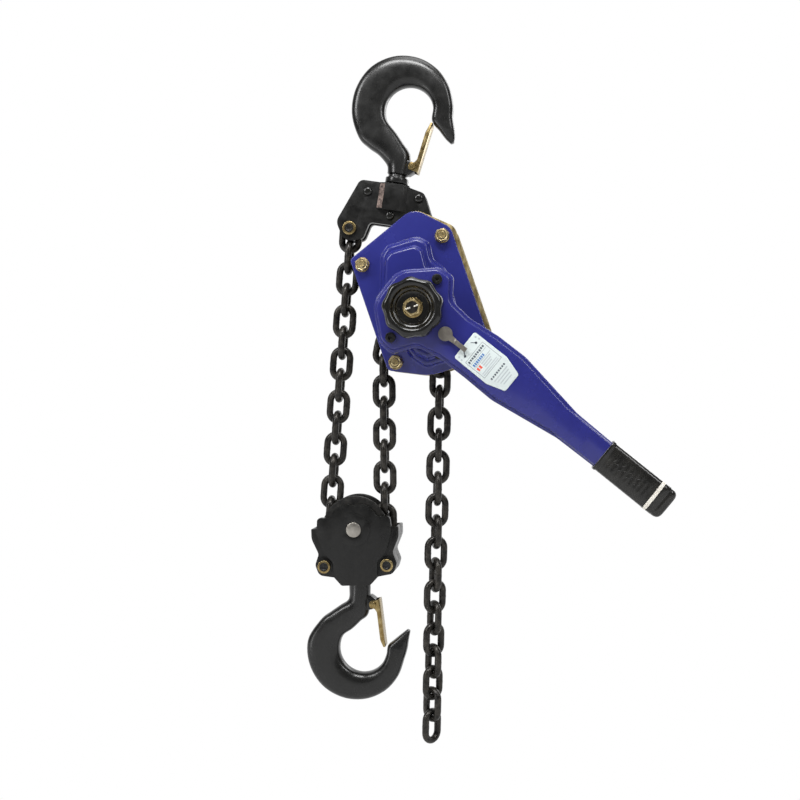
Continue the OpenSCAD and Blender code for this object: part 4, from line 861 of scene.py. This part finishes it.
def bar(bm, p0, p1, q0, q1, y, turn=0.0, at=None):
    """A thin printed bar on the label, from p0 to p1 and q0 to q1."""
    corners = [Vector((p0, q0)), Vector((p1, q0)), Vector((p1, q1)), Vector((p0, q1))]
    if turn:
        about = Vector(at)
        spin = Matrix.Rotation(radians(turn), 2)
        corners = [about + spin @ (c - about) for c in corners]
    skin_rings(bm, [[Vector((c.x, y, c.y + LABEL_SHIFT)) for c in corners],
                    [Vector((c.x, y - 0.06, c.y + LABEL_SHIFT)) for c in corners]])


def label():
    bm = bmesh.new()
    outline = resample(rounded([(82, -21.5, 3), (136, -22, 6), (162, -14, 4), (162, 14, 4),
                                (136, 22, 6), (82, 21.5, 3)]), 6)
    outline = [p + Vector((0, LABEL_SHIFT)) for p in outline]
    y = LEVER_FRONT
    pressed(bm, outline, [(0, y - 0.05), (0, y - 0.55), (-0.2, y - 0.75), (-0.4, y - 0.8)])
    finish(mesh_object("label_film", bm, LEVER, 40), "label", "lever",
           "label_plate")
    y -= 0.78
    ink, blue, red, ghost = bmesh.new(), bmesh.new(), bmesh.new(), bmesh.new()
    for q in (-17.6, 17.2):
        bar(ink, 98, 130.5, q, q + 0.4, y)
    for p in (98, 130.1):
        bar(ink, p, p + 0.4, -17.6, 17.6, y)
    for k in range(9):
        bar(ink, 100.5, 103.4 if k % 3 else 104, -15.5 + 3.5 * k, -13.2 + 3.5 * k, y)
    bar(ink, 105.6, 105.9, -15.5, 15.5, y)
    for k in range(7):
        bar(blue, 107.6, 111.4, -14.6 + 3.1 * k, -12.4 + 3.1 * k, y)
    bar(ink, 112.6, 112.9, -15.5, 15.5, y)
    for k in range(2):
        bar(red, 114.6, 119.6, -15 + 4.2 * k, -12.2 + 4.2 * k, y)
    for row in range(3):
        bar(ghost, 114.6 + 3.1 * row, 116.4 + 3.1 * row, -5.6, 12 - 2 * row, y)
    for row in range(2):
        bar(ghost, 124.4 + 2.8 * row, 125.8 + 2.8 * row, -15.5, 14, y)
    for k in range(8):
        bar(ink, 137, 139.6, -13.6 + 3.6 * k, -11.4 + 3.6 * k, y)
    for row in range(4):
        wide = 13 - 1.6 * row
        bar(ghost, 142.5 + 3.8 * row, 144 + 3.8 * row, -wide, wide, y)
    for side in (-1, 1):
        about = (90, side * 9.5)
        bar(ink, 86, 94, side * 9.5 - 0.5, side * 9.5 + 0.5, y, side * 38, about)
        bar(ink, 91.6, 94.6, side * 9.5 - 1.5, side * 9.5 + 1.5, y, side * 38, about)
        bar(ghost, 86, 88.4, side * 17 - 1.2, side * 17 + 1.2, y)
        bar(ghost, 91, 93.4, side * 18 - 1.2, side * 18 + 1.2, y)
    for name, mesh, key in (("print", ink, "ink"), ("rows_blue", blue, "ink_blue"),
                            ("rows_red", red, "ink_red"), ("rows_grey", ghost, "ghost")):
        finish(mesh_object("label_" + name, mesh, LEVER, 40), key, "lever")


def selector():
    bm = bmesh.new()
    y = LEVER_FRONT
    lathe(bm, [(6, LEVER_BACK + 0.4), (6, y - 1.5)], (54, 0), 40)
    lathe(bm, [(9.2, y - 1.4), (9.6, y - 1.8), (9.6, y - 4), (9.3, y - 4.4), (8.8, y - 4.5)],
          (54, 0), 56)
    path = [(60, y - 3.2), (68.5, y - 3.2), (70.6, y - 5.2), (72.4, y - 5.3), (89, y - 5.3)]
    widths = [4.6, 3.4, 3.2, 3.2, 3.1]
    rings = []
    for (p, yy), w in zip(path, widths):
        rings.append([Vector((p, yy - 1.1, -w + 0.4)), Vector((p, yy - 1.1, w - 0.4)),
                      Vector((p, yy - 0.7, w)), Vector((p, yy + 0.9, w)),
                      Vector((p, yy + 0.9, -w)), Vector((p, yy - 0.7, -w))])
    skin_rings(bm, rings)
    finish(mesh_object("selector_plate", bm, LEVER, 40), "selector", "selector",
           "selector_lever")


def hand_wheel():
    lobes = bpy.context.scene.hoist_sizes.wheel_lobes

    def shape(a, r):
        share = max(0.0, min(1.0, (r - 31.5) / 9))
        return 1 - share * 0.032 * (1 - cos(lobes * a + 0.6))

    back = WHEEL_BACK
    bm = bmesh.new()
    lathe(bm, [(16.5, back + 4), (17, back), (33, back), (38.6, back - 0.4), (40.5, back - 2.2),
               (41, back - 5), (41, back - 13), (40.5, back - 16.5), (39.1, back - 19.3),
               (36.8, back - 21.2), (34, back - 22), (31, back - 21.8), (28.8, back - 20.8),
               (27.4, back - 18.8), (26.6, back - 15.4), (25.8, back - 14.2),
               (24.2, back - 13.8), (23.2, back - 13.2), (22.7, back - 11.6),
               (22, back - 10.4), (20.6, back - 10), (13.8, back - 10), (8.6, back - 10)],
          count=216, lobes=shape)
    finish(mesh_object("handwheel_moulding", bm, HOIST, 45), "wheel", "drive",
           "handwheel")
    bm = bmesh.new()
    for k in range(3):
        a = radians(43 + 120 * k)
        at = (18.4 * cos(a), 18.4 * sin(a))
        lathe(bm, [(2.2, back - 9.6), (2.1, back - 10.7), (1.7, back - 11.1),
                   (1.2, back - 10.9), (0.9, back - 10.4)], at, 24)
    finish(mesh_object("wheel_rivet_heads", bm, HOIST, 45), "shaft", "drive")


# --- the stage ---

def pale(name, tone):
    """Paper that looks white to the camera and is lit like a wall of this tone."""
    mat = bpy.data.materials.new(name)
    mat.use_nodes = True
    tree = mat.node_tree
    tree.nodes.clear()
    rays = add_node(tree, "ShaderNodeLightPath")
    first, second = [add_node(tree, "ShaderNodeMath") for _ in range(2)]
    first.operation = second.operation = "MAXIMUM"
    flat = add_node(tree, "ShaderNodeBsdfDiffuse", Color=(tone, tone, tone, 1))
    shine = add_node(tree, "ShaderNodeEmission", Color=(1, 1, 1, 1))
    mix = add_node(tree, "ShaderNodeMixShader")
    out = add_node(tree, "ShaderNodeOutputMaterial")
    chain_nodes(tree, rays.outputs["Is Camera Ray"], first.inputs[0],
                rays.outputs["Is Glossy Ray"], first.inputs[1],
                first.outputs[0], second.inputs[0],
                rays.outputs["Is Transmission Ray"], second.inputs[1],
                second.outputs[0], mix.inputs["Fac"],
                flat.outputs[0], mix.inputs[1],
                shine.outputs[0], mix.inputs[2],
                mix.outputs[0], out.inputs["Surface"])
    return mat


def stage_plane(name, corners, material):
    mesh = bpy.data.meshes.new(name)
    mesh.from_pydata(corners, [], [(0, 1, 2, 3)])
    mesh.materials.append(material)
    add_object(name, mesh)


def lamp(name, at, target, size, power):
    light = bpy.data.lights.new(name, "AREA")
    light.shape = "RECTANGLE"
    light.size, light.size_y = size
    light.energy = power
    piece = add_object(name, light)
    piece.location = at
    piece.rotation_euler = (Vector(target) - Vector(at)).to_track_quat("-Z", "Y").to_euler()


# --- operators ---

class HoistSizes(bpy.types.PropertyGroup):
    wheel_lobes: IntProperty(name="Wheel lobes", default=9, min=6, max=12,
                             description="Lobes round the hand wheel")
    camera_turn: FloatProperty(name="Camera turn", default=radians(7), subtype="ANGLE",
                               description="Angle of the camera to the right of the front")
    camera_far: FloatProperty(name="Camera distance", default=1.6, unit="LENGTH",
                              description="Distance of the camera from the hoist")


class HoistFinishes(bpy.types.PropertyGroup):
    cover_blue: FloatVectorProperty(name="Cover blue", subtype="COLOR", min=0, max=1,
                                    default=(0.016, 0.019, 0.152),
                                    description="Enamel on the two covers")
    lever_blue: FloatVectorProperty(name="Lever blue", subtype="COLOR", min=0, max=1,
                                    default=(0.017, 0.019, 0.152),
                                    description="Enamel on the lever")
    black: FloatVectorProperty(name="Forging black", subtype="COLOR", min=0, max=1,
                               default=(0.0042, 0.0042, 0.004),
                               description="Paint on the hooks, the yoke and the block")
    label: FloatVectorProperty(name="Label", subtype="COLOR", min=0, max=1,
                               default=(0.6, 0.66, 0.655), description="Film of the label")


class HOIST_OT_stage(bpy.types.Operator):
    """Camera, lamps, floor and backdrop"""
    bl_idname = "hoist.stage"
    bl_label = "Stage"

    def execute(self, context):
        sizes = context.scene.hoist_sizes
        target = Vector((-0.01862, 0, -0.43502))
        camera = bpy.data.cameras.new("camera")
        camera.lens = 51.6
        camera.sensor_width = 36
        camera.clip_end = 50
        piece = add_object("camera", camera)
        a, d = sizes.camera_turn, sizes.camera_far
        piece.location = target + Vector((sin(a) * d, -cos(a) * d, 0))
        piece.rotation_euler = (pi / 2, 0, a)
        context.scene.camera = piece
        context.scene.view_settings.view_transform = "Standard"
        floor, wall = pale("pale_floor", 0.82), pale("pale_backdrop", 0.85)
        z, w = -1.02, 6
        stage_plane("floor", [(-w, -w, z), (w, -w, z), (w, w, z), (-w, w, z)], floor)
        stage_plane("backdrop", [(-w, 3, z), (w, 3, z), (w, 3, 5), (-w, 3, 5)], wall)
        world = bpy.data.worlds.new("world")
        context.scene.world = world
        world.use_nodes = True
        back = world.node_tree.nodes["Background"]
        back.inputs["Color"].default_value = (1, 1, 1, 1)
        back.inputs["Strength"].default_value = 0.16
        lamp("key", (-1.7, -1.5, 0.95), (0, 0, -0.35), (0.45, 1.3), 30)
        lamp("fill", (1.5, -1.2, 0.85), (0, 0, -0.4), (0.3, 1.3), 16)
        lamp("low", (-1.2, -0.9, -0.9), (0, 0, -0.4), (0.25, 0.9), 4)
        lamp("sheen", (-0.1, -1.0, 1.0), (0, 0, -0.05), (0.8, 0.35), 24)
        lamp("top", (0.2, -0.2, 1.7), (0, 0, -0.3), (1.4, 1.0), 18)
        lamp("rim", (0.9, 1.4, 0.4), (0, 0, -0.3), (0.8, 1.4), 12)
        return {"FINISHED"}


class HOIST_OT_chain(bpy.types.Operator):
    """Load chain, link by link"""
    bl_idname = "hoist.chain"
    bl_label = "Load chain"

    def execute(self, context):
        form = link_mesh()
        tree = repeat_tree()
        for node, run in chain_runs().items():
            places = []
            for at, lean, twist in run:
                m = move(at.x, 0, at.y) @ turn_y(lean) @ Matrix.Rotation(radians(twist), 4, "Z")
                m.translation = m.translation * 0.001
                places.append(m)
            set_pieces(node + "_links", tree, form, places, "chain",
                       BODY_OF[node], node)
        remove(form)
        return {"FINISHED"}


class HOIST_OT_hooks(bpy.types.Operator):
    """Forged hooks with their latches"""
    bl_idname = "hoist.hooks"
    bl_label = "Hooks"

    def execute(self, context):
        forged_hook("top_hook_forging", TOP_HOOK, TOP_FORM, "top_hook", "top_hook")
        forged_hook("bottom_hook_forging", LOW_HOOK, LOW_FORM, "bottom_hook", "bottom_hook")
        dress_all(("top_latch bottom_latch", "zinc", 0.35),
                  ("top_latch_pin bottom_latch_pin", "zinc", 0.4),
                  ("top_hook_collar", "forged", 1.2),
                  ("top_hook_nut bottom_hook_nut", "dark", 0.8))
        return {"FINISHED"}


class HOIST_OT_yoke(bpy.types.Operator):
    """Yoke plates with their rivets, bolt and pin"""
    bl_idname = "hoist.yoke"
    bl_label = "Yoke"

    def execute(self, context):
        dress_all(("yoke_plate_front yoke_plate_rear", "cast", 1.3, 3),
                  ("yoke_spacers top_pin_spacers", "dark", 0.3),
                  ("yoke_rivets", "forged", 1.6, 4),
                  ("anchor_bolt anchor_nut", "zinc", 0.5), ("top_pin", "steel", 0.8))
        bm = bmesh.new()
        for x, z in RIVETS:
            for way in (-1, 1):
                lathe(bm, [(r, way * y) for r, y in RIVET_DOME][::-way], (x, z), 40)
        finish(mesh_object("yoke_rivet_domes", bm, YOKE, 60), "wheel", "frame")
        # A thin pale brownish sheet on the boss's left flank: a painted highlight for the light
        # that the flank catches
        bm = bmesh.new()
        side, out = Vector((8.5, -6)).normalized(), Vector((-6, -8.5)).normalized()
        start, width = Vector((-20.5, -15)) + side * 0.5, 9.4
        rim = [start, start + side * width, start + side * width + out * 0.15,
               start + out * 0.15]
        skin_rings(bm, [[Vector((p.x, p.y, z)) for p in rim]
                        for z in (-YOKE_TOP - 1.6, -YOKE_TOP - BOSS_DROP + 1.6)])
        finish(mesh_object("yoke_boss_rub", bm, YOKE, 30), "rubbed", "frame")
        form = socket_form()
        set_pieces("anchor_bolt_socket", repeat_tree(), form,
                   [place_m(YOKE, -YOKE_ARM, -19.9, -YOKE_DROP)], "screw", "frame")
        remove(form)
        return {"FINISHED"}


class HOIST_OT_body(bpy.types.Operator):
    """Side plates and pressed covers with their stay bolts"""
    bl_idname = "hoist.body"
    bl_label = "Hoist body"

    @staticmethod
    def both_sides(y):
        places = []
        for u, w in STAYS:
            places += [place_m(HOIST, u, y, w), place_m(HOIST, u, -y, w, flip=True)]
        return places

    def execute(self, context):
        brake_cover()
        gear_case()
        dress_all(("side_plate_front side_plate_rear", "gold", 0.5))
        forms = [nut_form(), bolt_end_form(), washer_form()]
        tree = repeat_tree()
        places = []
        for k, (u, w) in enumerate(STAYS):
            places.append(place_m(HOIST, u, COVER_FACE - WASHER_T, w, spin=13 + 23 * k))
            places.append(place_m(HOIST, u, WASHER_T - COVER_FACE, w, flip=True,
                                  spin=7 + 31 * k))
        set_pieces("stay_hex_nuts", tree, forms[0], places, "plated", "frame",
                   "stay_nuts")
        set_pieces("stay_flat_washers", tree, forms[2], self.both_sides(COVER_FACE - 0.05),
                   "zinc", "frame", "stay_washers")
        set_pieces("stay_bolt_ends", tree, forms[1], self.both_sides(COVER_FACE + 0.4),
                   "plated", "frame")
        remove(*forms)
        dress_all(("stay_bolts", "steel", 0), ("chain_guide chain_stripper", "dark", 0.6),
                  ("sheave_bearings", "bronze", 0.4))
        return {"FINISHED"}


class HOIST_OT_drive(bpy.types.Operator):
    """Sheave, gears, brake and shaft inside the body"""
    bl_idname = "hoist.drive"
    bl_label = "Drive and brake"

    def execute(self, context):
        dress_all(("load_sheave", "dark", 0.5),
                  ("load_gear disc_gear_upper disc_gear_lower ratchet_disc change_gear "
                   "pawl_pins", "steel", 0),
                  ("drive_shaft", "shaft", 0),
                  ("pawl_upper pawl_lower selector_pawl brake_hub", "dark", 0.3),
                  ("friction_discs", "bronze", 0.2))
        return {"FINISHED"}


class HOIST_OT_lever(bpy.types.Operator):
    """Lever shells with grip, label, selector and screws"""
    bl_idname = "hoist.lever"
    bl_label = "Lever"

    def execute(self, context):
        lever_shell("lever_front_pressing", -1, "lever_front_shell")
        lever_shell("lever_rear_pressing", 1, "lever_rear_shell")
        grip()
        label()
        selector()
        dress("lever_screws", "screw", 0.5)
        return {"FINISHED"}


class HOIST_OT_wheel(bpy.types.Operator):
    """Hand wheel with its washer, castle nut and cotter pin"""
    bl_idname = "hoist.wheel"
    bl_label = "Hand wheel"

    def execute(self, context):
        hand_wheel()
        dress_all(("castle_nut", "plated", 0.35), ("wheel_washer", "zinc", 0.3),
                  ("cotter_pin", "bright", 0))
        return {"FINISHED"}


class HOIST_OT_block(bpy.types.Operator):
    """Bottom block with its idler sheave, axle and bolts"""
    bl_idname = "hoist.block"
    bl_label = "Bottom block"

    def execute(self, context):
        dress_all(("block_front block_rear", "cast", 1.6, 3), ("block_bolts", "zinc", 0.5))
        form = socket_form()
        set_pieces("block_bolt_sockets", repeat_tree(), form,
                   [place_m(BLOCK, x, -34.9, -50) for x in (-43.6, 43.6)],
                   "screw", "block")
        remove(form)
        dress_all(("idler_axle", "steel", 0.8), ("idler_sheave", "dark", 0.6))
        return {"FINISHED"}


OPERATORS = (HOIST_OT_stage, HOIST_OT_chain, HOIST_OT_hooks, HOIST_OT_yoke, HOIST_OT_body,
             HOIST_OT_drive, HOIST_OT_lever, HOIST_OT_wheel, HOIST_OT_block)


class HOIST_PT_panel(bpy.types.Panel):
    """The hoist's pieces and their finishes"""
    bl_idname = "HOIST_PT_panel"
    bl_label = "Lever chain hoist"
    bl_space_type = "VIEW_3D"
    bl_region_type = "UI"
    bl_category = "Hoist"

    def draw(self, context):
        for group in (context.scene.hoist_sizes, context.scene.hoist_finishes):
            for key in group.__annotations__:
                self.layout.prop(group, key)
        for operator in OPERATORS:
            self.layout.operator(operator.bl_idname)


CLASSES = (HoistSizes, HoistFinishes, *OPERATORS, HOIST_PT_panel)


def register():
    for cls in CLASSES:
        bpy.utils.register_class(cls)
    bpy.types.Scene.hoist_sizes = PointerProperty(type=HoistSizes)
    bpy.types.Scene.hoist_finishes = PointerProperty(type=HoistFinishes)


def unregister():
    del bpy.types.Scene.hoist_finishes
    del bpy.types.Scene.hoist_sizes
    for cls in reversed(CLASSES):
        bpy.utils.unregister_class(cls)


def main():
    register()
    make_finishes()
    for operator in OPERATORS:
        area, name = operator.bl_idname.split(".")
        getattr(getattr(bpy.ops, area), name)()


if __name__ == "__main__":
    main()
